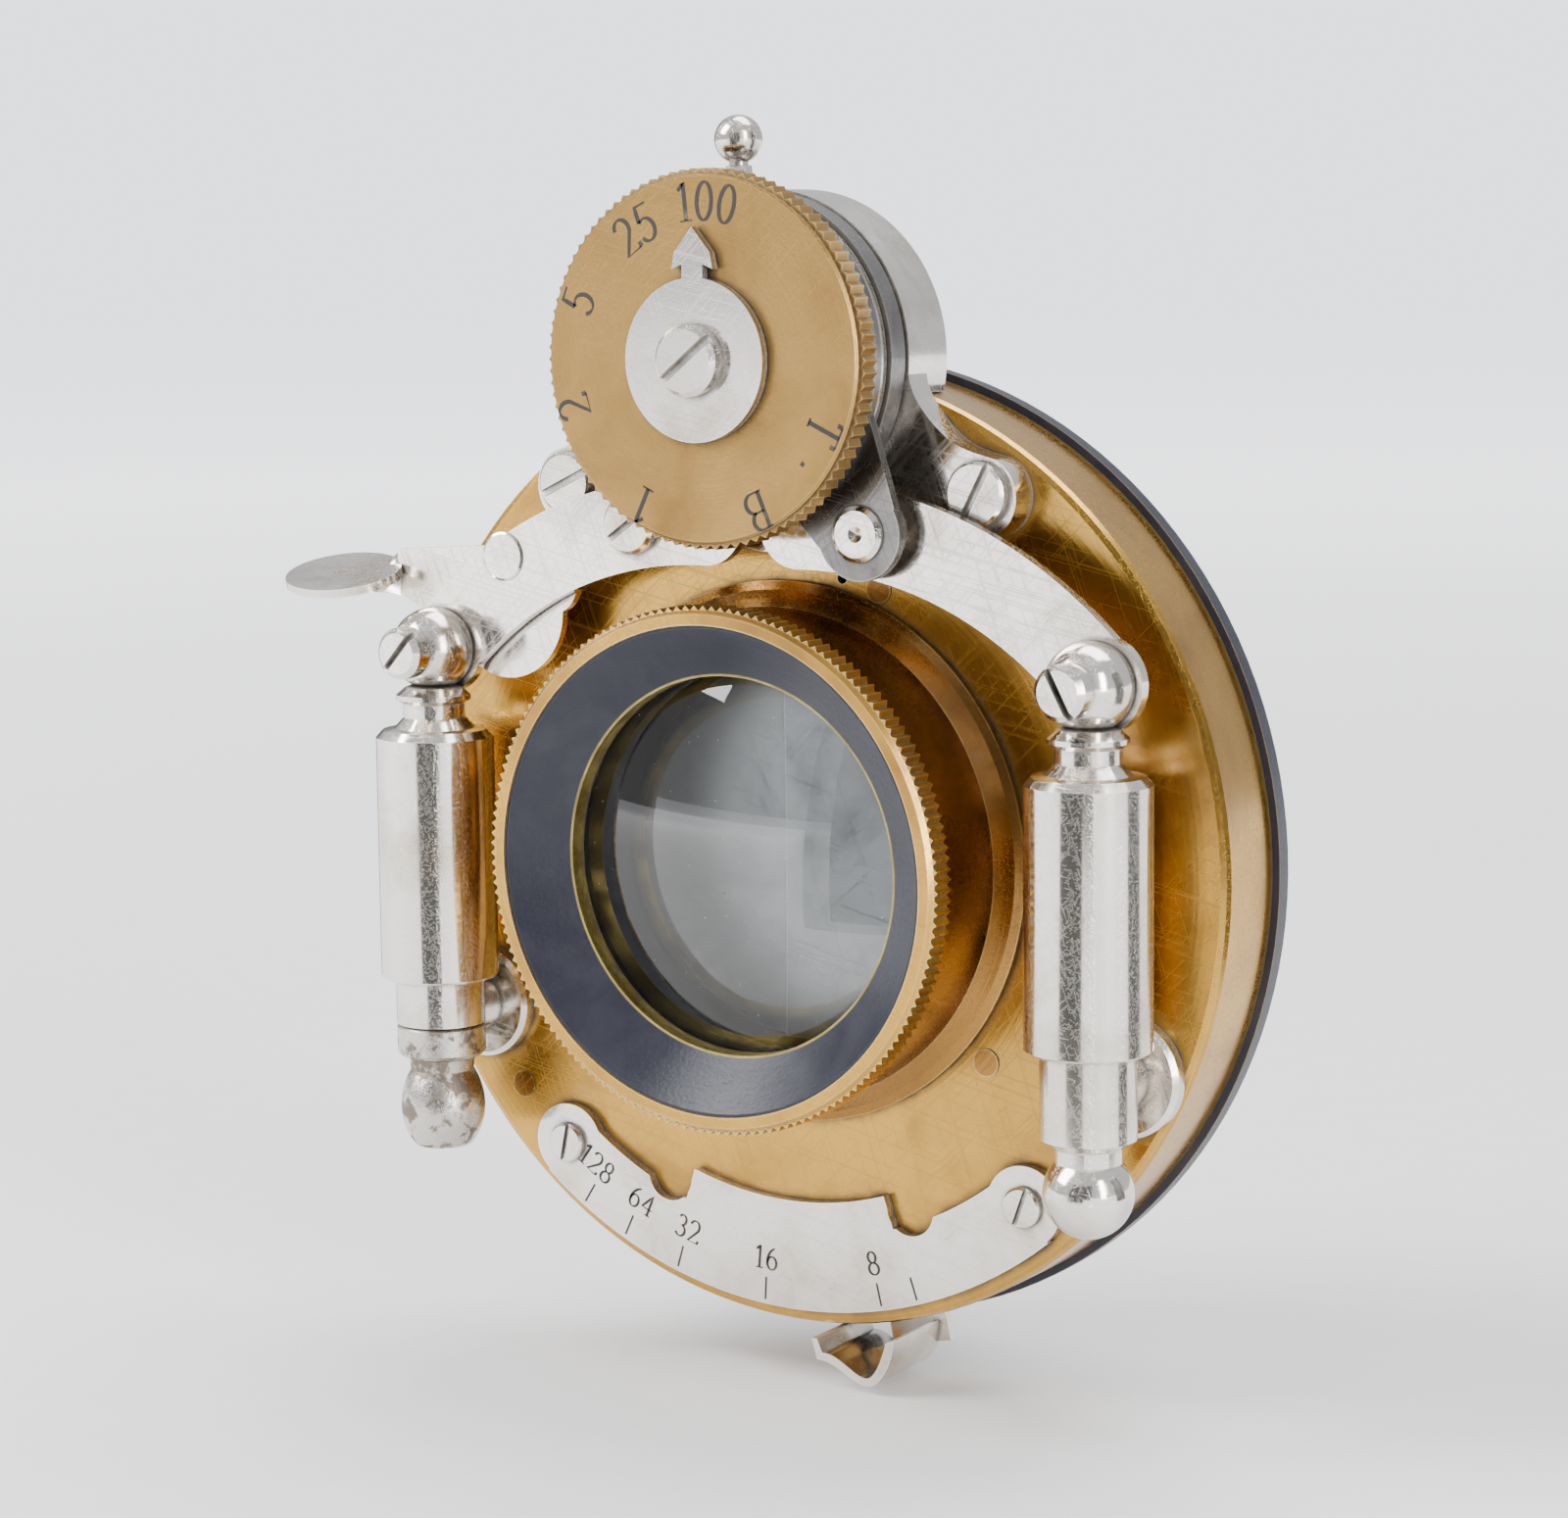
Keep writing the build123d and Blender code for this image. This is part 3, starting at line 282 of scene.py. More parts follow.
# %% Patches of tarnish
# Noise of several sizes, kept only where it rises above Low and full where it reaches High.
patches, given, result = new_group("tarnish_patches", [
    ("Vector", "Vector", None), ("Scale", "Float", 100.0), ("Low", "Float", 0.45),
    ("High", "Float", 0.7)], ["Mask"])
cloud = node(patches, "TexNoise", {"Vector": given.outputs["Vector"], "Scale": given.outputs["Scale"],
                                   "Detail": 7.0, "Roughness": 0.62, "Distortion": 0.4})
kept = node(patches, "MapRange", {"Value": cloud.outputs["Fac"], "From Min": given.outputs["Low"],
                                  "From Max": given.outputs["High"]},
            interpolation_type="SMOOTHSTEP")
patches.links.new(kept.outputs["Result"], result.inputs["Mask"])
print("group:", patches.name)

# %% Hairline scratches
# Noise that is squeezed a hundredfold across one direction turns into long thin streaks. Three
# directions laid over each other look like years of wiping.
scratches, given, result = new_group("hairline_scratches", [
    ("Vector", "Vector", None), ("Scale", "Float", 9000.0), ("Amount", "Float", 0.5)], ["Mask"])
threshold = maths(scratches, "MULTIPLY_ADD", given.outputs["Amount"], -0.12, 0.74)
layers = []
for turn, squeeze in ((0.35, 0.012), (-0.8, 0.02), (1.35, 0.009)):
    turned = node(scratches, "VectorRotate", {"Vector": given.outputs["Vector"], "Angle": turn},
                  rotation_type="Y_AXIS")
    squeezed = node(scratches, "VectorMath", {0: turned.outputs["Vector"], 1: (1, 1, squeeze)},
                    operation="MULTIPLY")
    streaks = node(scratches, "TexNoise", {"Vector": squeezed.outputs["Vector"],
                                           "Scale": given.outputs["Scale"], "Detail": 1.0})
    layers.append(maths(scratches, "GREATER_THAN", streaks.outputs["Fac"], threshold))
total = maths(scratches, "MAXIMUM", maths(scratches, "MAXIMUM", layers[0], layers[1]), layers[2])
scratches.links.new(total, result.inputs["Mask"])
print("group:", scratches.name)

# %% Rings left by the lathe
# The distance from the turning axis, counted in ring widths, goes into a one-dimensional noise, so
# every ring has its own depth and all of them are true circles.
rings, given, result = new_group("lathe_rings", [
    ("Vector", "Vector", None), ("Width", "Float", 0.0002)], ["Height"])
apart = node(rings, "SeparateXYZ", {"Vector": given.outputs["Vector"]})
squares = maths(rings, "ADD", maths(rings, "POWER", apart.outputs["X"], 2.0),
                maths(rings, "POWER", apart.outputs["Z"], 2.0))
radius = maths(rings, "SQRT", squares)
along = maths(rings, "ADD", radius, maths(rings, "MULTIPLY", apart.outputs["Y"], 0.7))
ring_noise = node(rings, "TexNoise", {"W": maths(rings, "DIVIDE", along, given.outputs["Width"]),
                                      "Scale": 1.0, "Detail": 3.0}, noise_dimensions="1D")
rings.links.new(ring_noise.outputs["Fac"], result.inputs["Height"])
print("group:", rings.name)

# %% Dirt and painted shade in the corners
# Ambient occlusion is low where other surfaces crowd round a point, which is where shade falls. One
# minus it marks corners, screw slots and the roots of the knurling with dirt and painted shade together,
# and a little noise makes them uneven.
dirt_and_shade, given, result = new_group("corner_dirt_and_shade", [
    ("Vector", "Vector", None), ("Reach", "Float", 0.001)], ["Mask"])
crowding = node(dirt_and_shade, "AmbientOcclusion", {"Distance": given.outputs["Reach"]}, samples=6)
hidden = maths(dirt_and_shade, "SUBTRACT", 1.0, crowding.outputs["AO"])
uneven = node(dirt_and_shade, "TexNoise", {"Vector": given.outputs["Vector"], "Scale": 900.0, "Detail": 4.0})
dirty_and_shaded = maths(dirt_and_shade, "MULTIPLY", hidden, maths(dirt_and_shade, "ADD", uneven.outputs["Fac"], 0.35))
filled = node(dirt_and_shade, "MapRange", {"Value": dirty_and_shaded, "From Min": 0.12, "From Max": 0.55})
dirt_and_shade.links.new(filled.outputs["Result"], result.inputs["Mask"])
print("group:", dirt_and_shade.name)

# %% Bright worn edges
# The Bevel node gives the direction that the surface would have if its edges were rounded. Where
# that differs from the true direction there is an edge, and noise breaks it into rubbed stretches.
edges, given, result = new_group("worn_edges", [
    ("Vector", "Vector", None), ("Width", "Float", 0.0002)], ["Mask"])
rounded = node(edges, "Bevel", {"Radius": given.outputs["Width"]}, samples=6)
true_normal = node(edges, "NewGeometry").outputs["Normal"]
same = node(edges, "VectorMath", {0: rounded.outputs["Normal"], 1: true_normal},
            operation="DOT_PRODUCT")
differs = maths(edges, "MULTIPLY", maths(edges, "SUBTRACT", 1.0, same.outputs["Value"]), 5.0)
broken = node(edges, "TexNoise", {"Vector": given.outputs["Vector"], "Scale": 700.0, "Detail": 3.0})
rubbed = maths(edges, "MULTIPLY", differs, maths(edges, "ADD", broken.outputs["Fac"], 0.3))
limited = node(edges, "Clamp", {"Value": rubbed})
edges.links.new(limited.outputs["Result"], result.inputs["Mask"])
print("group:", edges.name)


# %% [markdown]
# All the metals are made by one function, because they differ only in their values: the clean
# colour, the colour of the tarnish, the colour of a rubbed edge, how rough each is, and how strong
# the lathe rings and scratches are. Tarnish is rougher than clean metal; dirt and painted shade are not
# metal.

# %% A metal with age
def group_node(tree, group, **inputs):
    """Place a shared group in a material with this material's own values."""
    made = node(tree, "Group", node_tree=group)
    for key, value in inputs.items():
        if isinstance(value, bpy.types.NodeSocket):
            tree.links.new(value, made.inputs[key])
        else:
            made.inputs[key].default_value = value
    return made


def blend(tree, mask, first, second):
    """Mix two colours by a mask; each colour is a socket or red, green and blue."""
    mixed = node(tree, "Mix", {"Factor": mask}, data_type="RGBA")
    for socket, colour in ((mixed.inputs[6], first), (mixed.inputs[7], second)):
        if isinstance(colour, bpy.types.NodeSocket):
            tree.links.new(colour, socket)
        else:
            socket.default_value = (*colour, 1)
    return mixed.outputs[2]


# Near black laid into crowded corners: dirt together with painted shade.
DIRT_AND_SHADE_COLOUR = (0.030, 0.022, 0.014)
BLACKENED = (0.022, 0.022, 0.026)
DIRT_AND_SHADE_COVER, DIRT_ROUGHER, SCRATCH_ROUGHER, SCRATCH_DEPTH = 0.8, 0.45, 0.10, -0.12
RELIEF = 0.03 * MM


def old_metal(name, clean, tarnished, rubbed, rough, tarnish_rough, patch=(120.0, 0.45, 0.75),
              ring=(0.0, 0.25 * MM), scratch=0.5, reach=0.9 * MM, axis=(0, 0, 0), grain=0.0,
              sheen=0.0, black_within=0.0):
    """One aged metal: patch is (scale, low, high), ring is (strength, width), sheen the lacquer.

    The rings run round axis, and black_within is the radius inside which the metal is blackened.
    """
    material, tree, shader = material_with_shader(name)
    place = node(tree, "Mapping", {"Vector": node(tree, "TexCoord").outputs["Object"],
                                   "Location": tuple(-c for c in axis)}).outputs["Vector"]
    tarnish = group_node(tree, patches, Vector=place, Scale=patch[0], Low=patch[1],
                         High=patch[2]).outputs["Mask"]
    lines = group_node(tree, scratches, Vector=place, Amount=scratch).outputs["Mask"]
    # corners is the ambient occlusion mask: dirt and painted shade where other surfaces crowd round.
    corners = group_node(tree, dirt_and_shade, Vector=place, Reach=reach).outputs["Mask"]
    worn = group_node(tree, edges, Vector=place).outputs["Mask"]
    turned_rings = group_node(tree, rings, Vector=place, Width=ring[1]).outputs["Height"]

    colour = blend(tree, tarnish, clean, tarnished)
    colour = blend(tree, worn, colour, rubbed)
    # Painted shade and dirt turn the corners near black and take away their metal.
    colour = blend(tree, corners, colour, DIRT_AND_SHADE_COLOUR)
    not_metal = maths(tree, "MULTIPLY", corners, DIRT_AND_SHADE_COVER)
    if black_within:
        spot = node(tree, "SeparateXYZ", {"Vector": place})
        squares = maths(tree, "MULTIPLY_ADD", spot.outputs["X"], spot.outputs["X"],
                        maths(tree, "MULTIPLY", spot.outputs["Z"], spot.outputs["Z"]))
        inside = maths(tree, "LESS_THAN", squares, black_within**2)
        colour = blend(tree, inside, colour, BLACKENED)
        not_metal = maths(tree, "MAXIMUM", not_metal, inside)
    tree.links.new(colour, shader.inputs["Base Color"])

    roughness = maths(tree, "MULTIPLY_ADD", tarnish, tarnish_rough - rough, rough)
    roughness = maths(tree, "MULTIPLY_ADD", lines, SCRATCH_ROUGHER, roughness)
    roughness = maths(tree, "MULTIPLY_ADD", not_metal, DIRT_ROUGHER, roughness)
    tree.links.new(roughness, shader.inputs["Roughness"])
    tree.links.new(maths(tree, "SUBTRACT", 1.0, not_metal), shader.inputs["Metallic"])

    height = maths(tree, "MULTIPLY", turned_rings, ring[0])
    height = maths(tree, "MULTIPLY_ADD", lines, SCRATCH_DEPTH, height)
    if grain:
        speckle = node(tree, "TexNoise", {"Vector": place, "Scale": 5200.0, "Detail": 3.0})
        height = maths(tree, "MULTIPLY_ADD", speckle.outputs["Fac"], grain, height)
    bump = node(tree, "Bump", {"Height": height, "Distance": RELIEF, "Strength": 0.6})
    tree.links.new(bump.outputs["Normal"], shader.inputs["Normal"])
    shader.inputs["Coat Weight"].default_value = sheen
    shader.inputs["Coat Roughness"].default_value = 0.16
    return material


# %% [markdown]
# The case and the lens tubes are brass under old lacquer: golden where the lacquer is whole,
# brown where it has darkened, with the fine rings of turning. The speed dial is the same brass
# worn to a dull bronze. The rest of the outside is nickel plate over brass, bright but smudged.

# %% The metal finishes
LACQUER = dict(clean=(0.56, 0.310, 0.050), tarnished=(0.25, 0.120, 0.022), rubbed=(0.82, 0.57, 0.20),
               rough=0.24, tarnish_rough=0.36, patch=(60.0, 0.40, 0.76), ring=(0.55, 0.00035),
               scratch=0.6, sheen=0.35)
FINISHES = {
    "lacquered_brass": old_metal("lacquered brass", **LACQUER),
    "blackened_cell": old_metal("brass, black inside", black_within=12.9 * MM, **LACQUER),
    # The front tube and the posts take a darker copy of this brass: painted shade as well as tarnish.
    "shaded_tarnished_brass": old_metal("brass with painted shade and tarnish", **{**LACQUER, "clean": (0.34, 0.165, 0.032),
                                                   "tarnished": (0.12, 0.050, 0.013)}),
    "dial_brass": old_metal(
        "dial brass", (0.42, 0.250, 0.075), (0.25, 0.140, 0.042), (0.66, 0.46, 0.20), 0.30, 0.42,
        patch=(90.0, 0.40, 0.80), ring=(0.30, 0.0002), scratch=0.8, axis=tuple(dial_axis), grain=0.3),
    "old_brass": old_metal(
        "old brass", (0.40, 0.31, 0.085), (0.19, 0.14, 0.035), (0.62, 0.50, 0.18), 0.38, 0.55,
        patch=(420.0, 0.40, 0.62), ring=(0.6, 0.0003), scratch=0.4, grain=0.6),
    "sheet_brass": old_metal(
        "sheet brass", (0.46, 0.29, 0.085), (0.30, 0.18, 0.055), (0.70, 0.52, 0.24), 0.35, 0.48,
        scratch=0.7, grain=0.3),
    "nickel": old_metal(
        "nickel plate", (0.82, 0.775, 0.71), (0.56, 0.49, 0.41), (0.92, 0.89, 0.83), 0.11, 0.23,
        patch=(150.0, 0.42, 0.78), scratch=0.85, reach=0.0006, grain=0.06),
    "worn_nickel": old_metal(
        "worn nickel", (0.60, 0.565, 0.515), (0.22, 0.185, 0.15), (0.66, 0.55, 0.36), 0.25, 0.52,
        patch=(650.0, 0.50, 0.60), scratch=0.9, grain=1.2),
    "dark_nickel": old_metal(
        "gunmetal nickel", (0.235, 0.225, 0.215), (0.12, 0.112, 0.103), (0.50, 0.47, 0.43), 0.26, 0.42,
        patch=(200.0, 0.42, 0.72), ring=(0.4, 0.0003), scratch=0.7, axis=tuple(dial_axis), grain=0.3),
    "blackened_steel": old_metal(
        "graphite grey steel", (0.24, 0.245, 0.255), (0.165, 0.17, 0.18), (0.40, 0.40, 0.40), 0.36,
        0.46, patch=(150.0, 0.42, 0.75), scratch=0.6, grain=0.4),
    "bright_steel": old_metal(
        "bright steel", (0.58, 0.57, 0.56), (0.38, 0.35, 0.31), (0.75, 0.75, 0.75), 0.24, 0.38,
        scratch=0.7, grain=0.2),
    "spring_steel": old_metal(
        "blued spring steel", (0.10, 0.135, 0.235), (0.16, 0.125, 0.10), (0.42, 0.43, 0.46), 0.25,
        0.38, patch=(260.0, 0.45, 0.70), scratch=0.5),
}
print("metals:", ", ".join(FINISHES))

# %% [markdown]
# The hood in front of the glass and the back plate are enamelled black with a touch of blue. It is
# a paint, so it is not metallic: fine specks, lathe rings under the paint, and brass showing where
# an edge is rubbed through.

# %% Black enamel
enamel, tree, shader = material_with_shader("black enamel")
place = node(tree, "TexCoord").outputs["Object"]
smoky = group_node(tree, patches, Vector=place, Scale=140.0, Low=0.35, High=0.8).outputs["Mask"]
lines = group_node(tree, scratches, Vector=place, Amount=0.5).outputs["Mask"]
worn = group_node(tree, edges, Vector=place, Width=0.00012).outputs["Mask"]
rubbed_through = maths(tree, "GREATER_THAN", worn, 0.72)
colour = blend(tree, smoky, (0.016, 0.017, 0.027), (0.034, 0.035, 0.046))
colour = blend(tree, rubbed_through, colour, (0.36, 0.25, 0.10))
tree.links.new(colour, shader.inputs["Base Color"])
roughness = maths(tree, "MULTIPLY_ADD", smoky, 0.10, 0.30)
tree.links.new(maths(tree, "MULTIPLY_ADD", lines, 0.12, roughness), shader.inputs["Roughness"])
grooves = group_node(tree, rings, Vector=place, Width=0.0003).outputs["Height"]
speckle = node(tree, "TexNoise", {"Vector": place, "Scale": 3800.0, "Detail": 3.0})
height = maths(tree, "MULTIPLY_ADD", grooves, 0.5, speckle.outputs["Fac"])
bump = node(tree, "Bump", {"Height": height, "Distance": RELIEF, "Strength": 0.45})
tree.links.new(bump.outputs["Normal"], shader.inputs["Normal"])
shader.inputs["Specular IOR Level"].default_value = 0.32
FINISHES["black_enamel"] = enamel

# %% [markdown]
# The cups of the pistons are leather, oiled dark, and the numbers are cuts filled with black wax.

# %% Leather and black wax
leather, tree, shader = material_with_shader("oiled leather")
place = node(tree, "TexCoord").outputs["Object"]
pores = node(tree, "TexVoronoi", {"Vector": place, "Scale": 2400.0})
colour = blend(tree, pores.outputs["Distance"], (0.10, 0.045, 0.018), (0.19, 0.095, 0.042))
tree.links.new(colour, shader.inputs["Base Color"])
bump = node(tree, "Bump", {"Height": pores.outputs["Distance"], "Distance": 0.00006})
tree.links.new(bump.outputs["Normal"], shader.inputs["Normal"])
shader.inputs["Roughness"].default_value = 0.6
FINISHES["pump_leather"] = leather

wax, tree, shader = material_with_shader("black wax")
place = node(tree, "TexCoord").outputs["Object"]
lost = group_node(tree, patches, Vector=place, Scale=900.0, Low=0.55, High=0.75).outputs["Mask"]
tree.links.new(blend(tree, lost, (0.018, 0.014, 0.011), (0.13, 0.095, 0.05)),
               shader.inputs["Base Color"])
tree.links.new(maths(tree, "MULTIPLY_ADD", lost, 0.2, 0.5), shader.inputs["Roughness"])
print("paint, leather and wax ready")

# %% [markdown]
# Lens glass is clear and smooth. Dust and a faint smear change only its roughness, so the glass
# itself keeps a plain transmission. Its ground edge is blackened to stop stray light.

# %% Optical glass
glass, tree, shader = material_with_shader("optical glass")
place = node(tree, "TexCoord").outputs["Object"]
smear = group_node(tree, patches, Vector=place, Scale=110.0, Low=0.45, High=0.85).outputs["Mask"]
dust = node(tree, "TexVoronoi", {"Vector": place, "Scale": 850.0, "Randomness": 1.0})
speck = maths(tree, "LESS_THAN", dust.outputs["Distance"], 0.045)
roughness = maths(tree, "MULTIPLY_ADD", smear, 0.05, 0.0)
tree.links.new(maths(tree, "MULTIPLY_ADD", speck, 0.5, roughness), shader.inputs["Roughness"])
shader.inputs["Base Color"].default_value = (0.97, 0.985, 0.975, 1)
shader.inputs["Transmission Weight"].default_value = 1.0
shader.inputs["IOR"].default_value = 1.58
FINISHES["optical_glass"] = glass

# %% Dress the CAD parts
# The cells are blackened inside; the front tube and the posts take the darker brass with painted shade.
OWN_FINISH = {"front_cell": "blackened_cell", "rear_cell": "blackened_cell",
              "front_tube": "shaded_tarnished_brass", "frame_posts": "shaded_tarnished_brass"}
for part in frame["record"]["subparts"]:
    finish = FINISHES[OWN_FINISH.get(part["node"], part["material_slot"])]
    for place_for_material in frame["nodes"][part["node"]].material_slots:
        place_for_material.material = finish

# %% [markdown]
# Each lens is two glasses cemented together, and the cement can't be seen from outside, so each
# pair is shown as one polished piece. A sphere of radius R lies R - sqrt(R² - r²) behind its
# highest point at a distance r from the axis, and that one line of arithmetic gives both faces.

# %% The two cemented lenses
OUTER_CURVE, INNER_CURVE = 36 * MM, 34 * MM


def sag(curve, r):
    """Depth of a sphere behind its highest point, R - sqrt(R^2 - r^2)."""
    return curve - np.sqrt(curve**2 - r**2)


front_low, front_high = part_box("front_flint_glass")
crown_low, crown_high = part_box("front_crown_glass")
glass_radius = (front_high.x - front_low.x) / 2
outer_vertex = -front_low.y
inner_vertex = -crown_high.y + sag(INNER_CURVE, glass_radius)
stop_height = -(front_low.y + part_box("rear_flint_glass")[1].y) / 2

r = np.linspace(0, glass_radius - 0.01 * MM, 40)
outer_face = outer_vertex - sag(OUTER_CURVE, r)
inner_face = inner_vertex - sag(INNER_CURVE, r[::-1])
lens_r = np.concatenate([r, r[::-1]])
lens_h = np.concatenate([outer_face, inner_face])
for name, heights in (("front", lens_h), ("rear", 2 * stop_height - lens_h)):
    points = lathe(lens_r, heights)
    lens = piece(f"{name}_lens", points, grid_faces(*points.shape[:2], wrap_columns=True),
                 [glass, enamel], sharp=25)
    flat = np.array([abs(p.normal.y) < 0.3 for p in lens.data.polygons])
    lens.data.polygons.foreach_set("material_index", flat.astype(np.int32))
    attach(lens, "shutter_case")
    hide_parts(f"{name}_flint_glass", f"{name}_crown_glass")
print("glass radius", round(glass_radius / MM, 2), "mm, thickness",
      round((outer_vertex - inner_vertex) / MM, 2), "mm")

# %% [markdown]
# The numbers were cut with a pointed tool that follows a pattern of lines, so they are drawn here
# as strokes and not taken from a typeface. An engraver's upright strokes are broad and the level
# ones fine. Each stroke is a ribbon whose width depends on its direction, thin and closed, and it
# stands one hundredth of a millimetre proud of the metal so that it always shows.


# %% The engraver's strokes
def line(*points):
    """A stroke through these points, given in units of the letter's height."""
    return np.array(points, float)


def arc(x, y, wide, high, start, stop):
    """Part of an ellipse about (x, y), from one angle to another in degrees."""
    a = np.radians(np.linspace(start, stop, 22))
    return np.stack([x + wide * np.cos(a), y + high * np.sin(a)], axis=1)


STROKES = {
    ".": (0.20, [line((0.10, 0.44), (0.10, 0.56))]),
    "0": (0.60, [arc(0.30, 0.50, 0.23, 0.50, 0, 360)]),
    "1": (0.44, [line((0.06, 0.80), (0.24, 1.00), (0.24, 0.00)), line((0.06, 0.0), (0.42, 0.0))]),
    "2": (0.60, [np.vstack([arc(0.28, 0.72, 0.23, 0.28, 165, -35), line((0.05, 0.0), (0.56, 0.0))]),
                 line((0.56, 0.0), (0.56, 0.14))]),
    "3": (0.56, [arc(0.26, 0.76, 0.19, 0.24, 150, -90), arc(0.26, 0.26, 0.24, 0.26, 90, -150)]),
    "4": (0.62, [line((0.42, 0.0), (0.42, 1.0), (0.04, 0.30), (0.58, 0.30)),
                 line((0.28, 0.0), (0.56, 0.0))]),
    "5": (0.58, [line((0.50, 1.0), (0.14, 1.0), (0.10, 0.56)), arc(0.27, 0.31, 0.25, 0.31, 132, -150)]),
    "6": (0.60, [arc(0.30, 0.29, 0.23, 0.29, 0, 360), arc(0.56, 0.32, 0.49, 0.66, 105, 182)]),
    "8": (0.58, [arc(0.29, 0.76, 0.19, 0.24, 0, 360), arc(0.29, 0.26, 0.24, 0.26, 0, 360)]),
    "B": (0.64, [line((0.10, 0.0), (0.10, 1.0)), line((0.0, 1.0), (0.32, 1.0)),
                 line((0.0, 0.0), (0.34, 0.0)), line((0.10, 0.53), (0.32, 0.53)),
                 arc(0.32, 0.765, 0.20, 0.235, 90, -90), arc(0.34, 0.265, 0.24, 0.265, 90, -90)]),
    "T": (0.64, [line((0.32, 0.0), (0.32, 1.0)), line((0.02, 1.0), (0.62, 1.0)),
                 line((0.20, 0.0), (0.44, 0.0)), line((0.02, 1.0), (0.02, 0.84)),
                 line((0.62, 1.0), (0.62, 0.84))]),
}
BROAD, FINE, LETTER_GAP = 0.125, 0.055, 0.12
CURVE_POINTS = 6         # a stroke with fewer points is straight runs
CUT_PROUD, CUT_DEEP = 0.01 * MM, 0.04 * MM


def ribbon(points):
    """Left and right edges of a stroke: p +- n w / 2, where the width w grows with uprightness."""
    along = np.gradient(points, axis=0)
    along /= np.linalg.norm(along, axis=1, keepdims=True) + 1e-9
    width = FINE + (BROAD - FINE) * np.abs(along[:, 1:2])
    across = np.stack([-along[:, 1], along[:, 0]], axis=1) * width / 2
    return points + across, points - across


def cut_stroke(left, right, surface_y):
    """One closed thin ribbon between two edges given as X and Z: four points at every step."""
    loop = [(left, -CUT_PROUD), (right, -CUT_PROUD), (right, CUT_DEEP), (left, CUT_DEEP)]
    section = np.stack([np.stack([edge[:, 0], np.full(len(edge), surface_y + depth), edge[:, 1]], axis=1)
                        for edge, depth in loop], axis=1)
    ends = np.array([[0, 1, 2, 3], np.arange(4)[::-1] + 4 * (len(left) - 1)])
    return section.reshape(-1, 3), np.vstack([grid_faces(len(left), 4, wrap_columns=True), ends])


def dense(stroke, steps=3):
    """The same stroke with its straight runs divided, so that its corners keep their width."""
    parts = [a + (b - a) * np.linspace(0, 1, steps + 1)[:-1, None]
             for a, b in zip(stroke[:-1], stroke[1:])]
    return np.vstack([*parts, stroke[-1:]])


def engrave(name, words, centre, height, surface_y, body, tops_outward):
    """Cut words round a circle: each is (text, degrees clockwise from the top, radius in metres)."""
    points, faces, count = [], [], 0
    for text, degrees, radius in words:
        total = sum(STROKES[letter][0] for letter in text) + LETTER_GAP * (len(text) - 1)
        start = -total / 2
        for letter in text:
            width, strokes = STROKES[letter]
            sweep = (start + width / 2) * height / radius * (1 if tops_outward else -1)
            start += width + LETTER_GAP
            angle = math.radians(degrees) + sweep
            outward = np.array([math.sin(angle), math.cos(angle)])
            up = outward if tops_outward else -outward
            right = np.array([up[1], -up[0]])
            middle_point = np.array(centre) + radius * outward
            for stroke in strokes:
                edges = ribbon(dense(stroke) if len(stroke) < CURVE_POINTS else stroke)
                placed = [middle_point + height * ((edge[:, :1] - width / 2) * right
                                                   + (edge[:, 1:] - 0.5) * up) for edge in edges]
                new_points, new_faces = cut_stroke(*placed, surface_y)
                points.append(new_points)
                faces.append(new_faces + count)
                count += len(new_points)
    made = piece(name, np.vstack(points), np.vstack(faces), [wax])
    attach(made, body)
    return made


# %% [markdown]
# The dial carries the speeds, from T and B, for exposures by hand, through whole seconds to a
# hundredth. Their tops point outwards and they turn with the dial.

# %% Numbers on the dial
DIAL_WORDS = [(".", 130, 9.6), ("100", 4, 9.6), ("25", -30, 9.2), ("5", -68, 9.65),
              ("2", -107.5, 9.9), ("1", -154, 10.0), ("B", 156, 10.0), ("T", 115, 9.8)]
DIAL_LETTER = 2.3 * MM
engrave("dial_numbers", [(text, angle, r_mm * MM) for text, angle, r_mm in DIAL_WORDS],
        (dial_axis.x, dial_axis.z), DIAL_LETTER, dial_low.y, "speed_dial",
        tops_outward=True)
print("dial numbers:", ", ".join(text for text, _, _ in DIAL_WORDS))

# %% [markdown]
# The aperture scale has its numbers along the bottom of the case, upright for a reader in front,
# with a short mark under each. The lever below points at them.

# %% Numbers and marks on the scale
scale_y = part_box("aperture_scale")[0].y
SCALE_WORDS = [("128", -34.2), ("64", -25.3), ("32", -16.9), ("16", -3.6), ("8", 13.8)]
SCALE_RADIUS, SCALE_LETTER = 26.9 * MM, 1.5 * MM
engrave("scale_numbers", [(text, 180 - angle, SCALE_RADIUS) for text, angle in SCALE_WORDS], (0, 0),
        SCALE_LETTER, scale_y, "shutter_case", tops_outward=False)

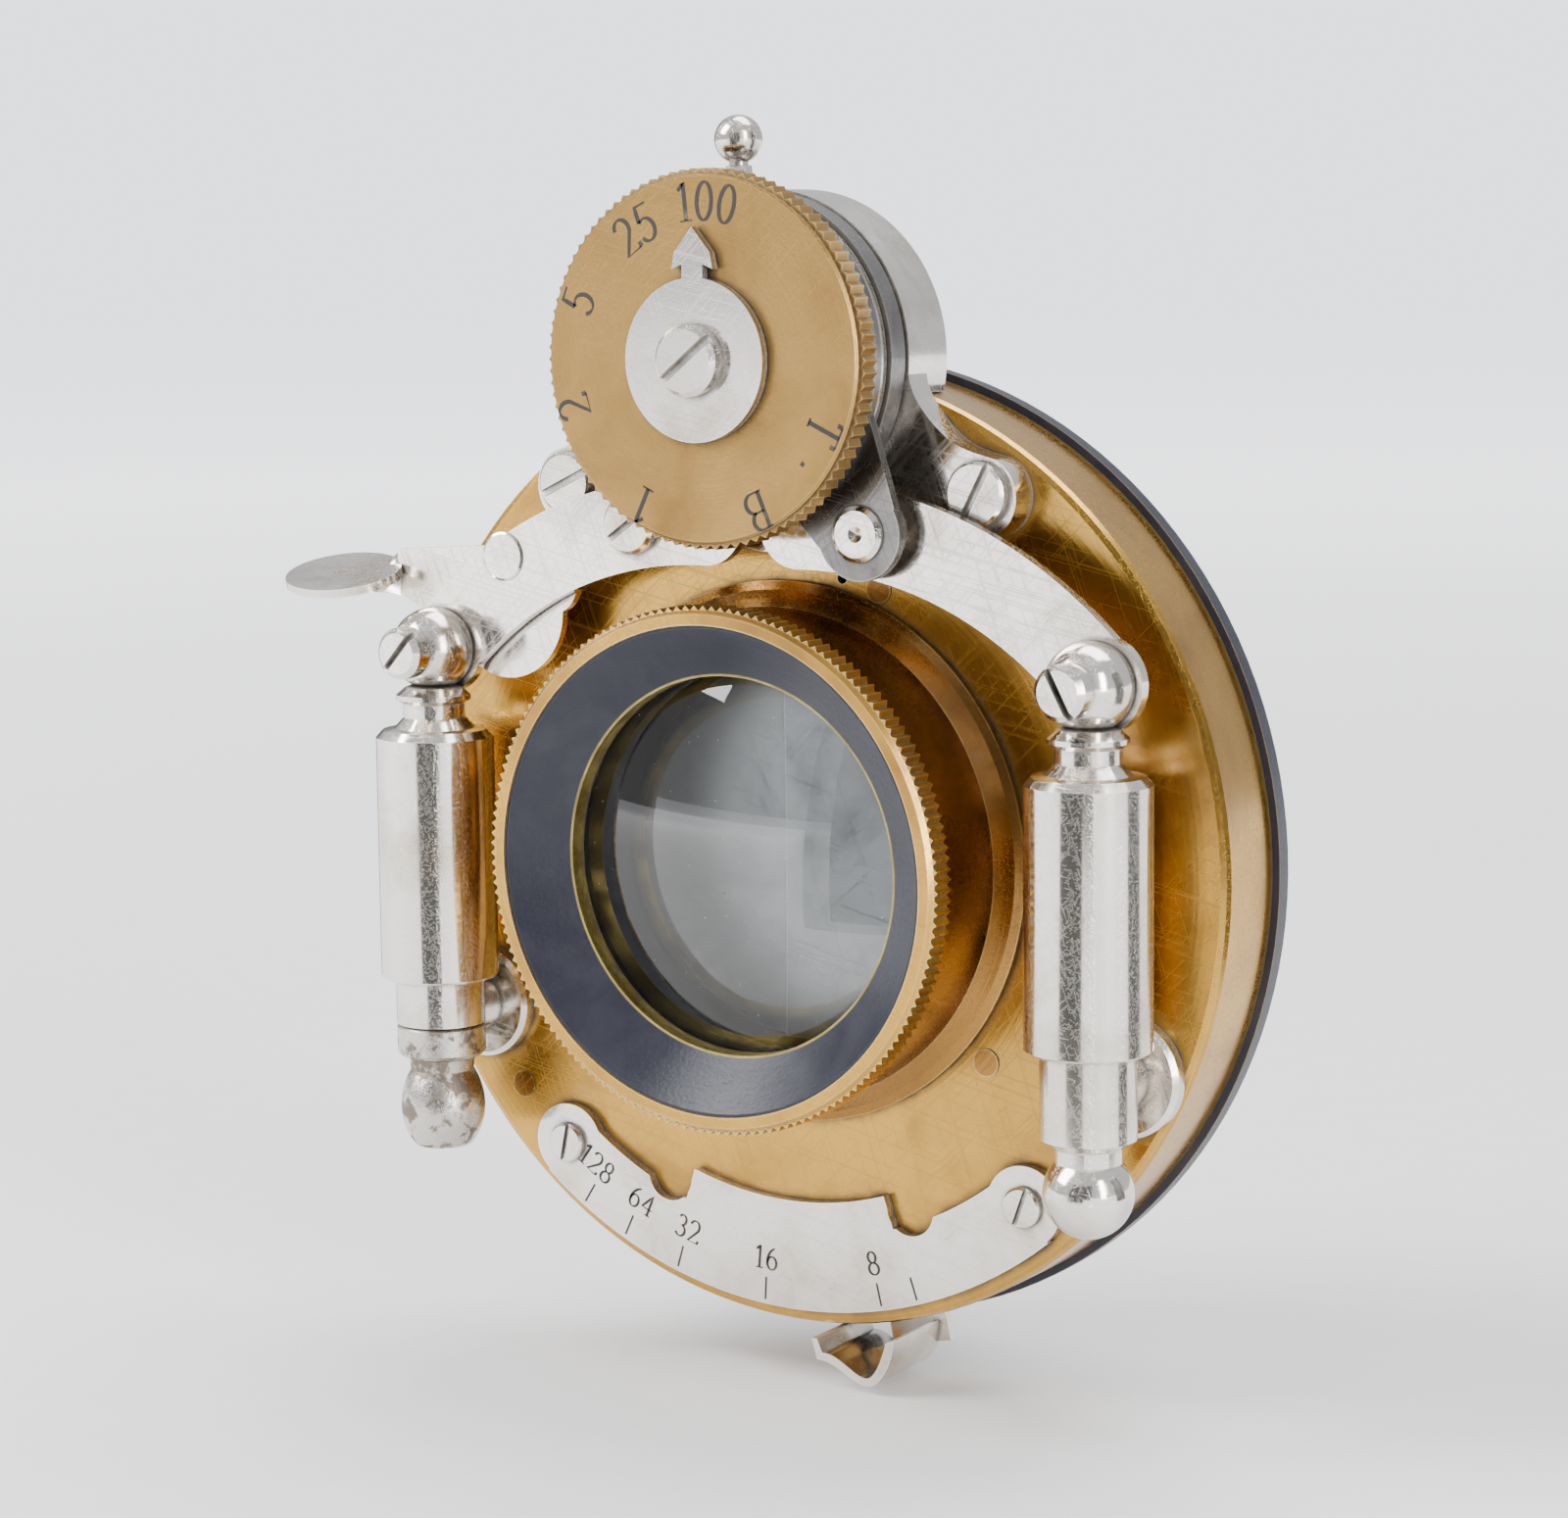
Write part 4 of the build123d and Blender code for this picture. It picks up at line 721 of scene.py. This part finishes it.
MARKS = [-32.9, -25.7, -17.0, -3.5, 13.7, 19.0]
MARK_FROM, MARK_TO, MARK_WIDE = 28.2 * MM, 29.7 * MM, 0.14 * MM
angles = np.radians(MARKS)
outward = np.stack([np.sin(angles), -np.cos(angles)], axis=1)
beside = np.stack([np.cos(angles), np.sin(angles)], axis=1)
MARK_CORNERS = ((MARK_FROM, -1), (MARK_TO, -1), (MARK_TO, 1), (MARK_FROM, 1))
corners = np.stack([outward * reach + beside * side * MARK_WIDE / 2
                    for reach, side in MARK_CORNERS], axis=1)
front = np.stack([corners[..., 0], np.full(corners.shape[:2], scale_y - CUT_PROUD),
                  corners[..., 1]], axis=-1)
back = front + np.array([0, CUT_PROUD + CUT_DEEP, 0])
BOX_FACES = np.array([[0, 1, 2, 3], [7, 6, 5, 4], [0, 4, 5, 1],
                      [1, 5, 6, 2], [2, 6, 7, 3], [3, 7, 4, 0]])
mark_points = np.concatenate([front, back], axis=1).reshape(-1, 3)
mark_faces = (BOX_FACES[None] + 8 * np.arange(len(MARKS))[:, None, None]).reshape(-1, 4)
marks = piece("scale_marks", mark_points, mark_faces, [wax])
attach(marks, "shutter_case")
print("scale numbers:", len(SCALE_WORDS), "marks:", len(MARKS))

# %% [markdown]
# The boss behind the case screws into a flange on the camera's board, so it has a thread. A thread
# is a three-cornered ridge carried along a helix: while the angle goes round once, the ridge moves
# along the axis by one pitch. It rises from nothing at its start and sinks away at its end.

# %% Thread on the mounting boss
boss_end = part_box("mount_boss")[1].y
boss_mount = next(mount for mount in frame["record"]["mounts"] if mount["name"] == "mount_boss")
boss_radius = boss_mount["dims"]["r_mm"] * MM
PITCH, THREAD_DEPTH, TURN_STEPS = 0.75 * MM, 0.32 * MM, 96
thread_start, thread_end = boss_end - 6.2 * MM, boss_end - 0.5 * MM
turns = (thread_end - thread_start - PITCH) / PITCH
along = np.linspace(0, turns, int(TURN_STEPS * turns))[:, None]
rise = np.clip(np.minimum(along, turns - along) * 3, 0, 1)
across = np.array([-0.5, 0.0, 0.5, 0.0])[None, :]
raised = np.array([-0.1, 1.0, -0.1, -0.3])[None, :]
thread_r = boss_radius + THREAD_DEPTH * (raised * rise - 0.05)
thread_y = thread_start + PITCH * (along + 0.5 + 0.96 * across * rise)
angle = 2 * np.pi * along
thread_points = np.stack([thread_r * np.cos(angle), thread_y, thread_r * np.sin(angle)], axis=-1)
thread = piece("boss_thread", thread_points,
               grid_faces(*thread_points.shape[:2], wrap_columns=True), [FINISHES["lacquered_brass"]])
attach(thread, "shutter_case")
print("thread:", round(turns, 1), "turns at", PITCH / MM, "mm")
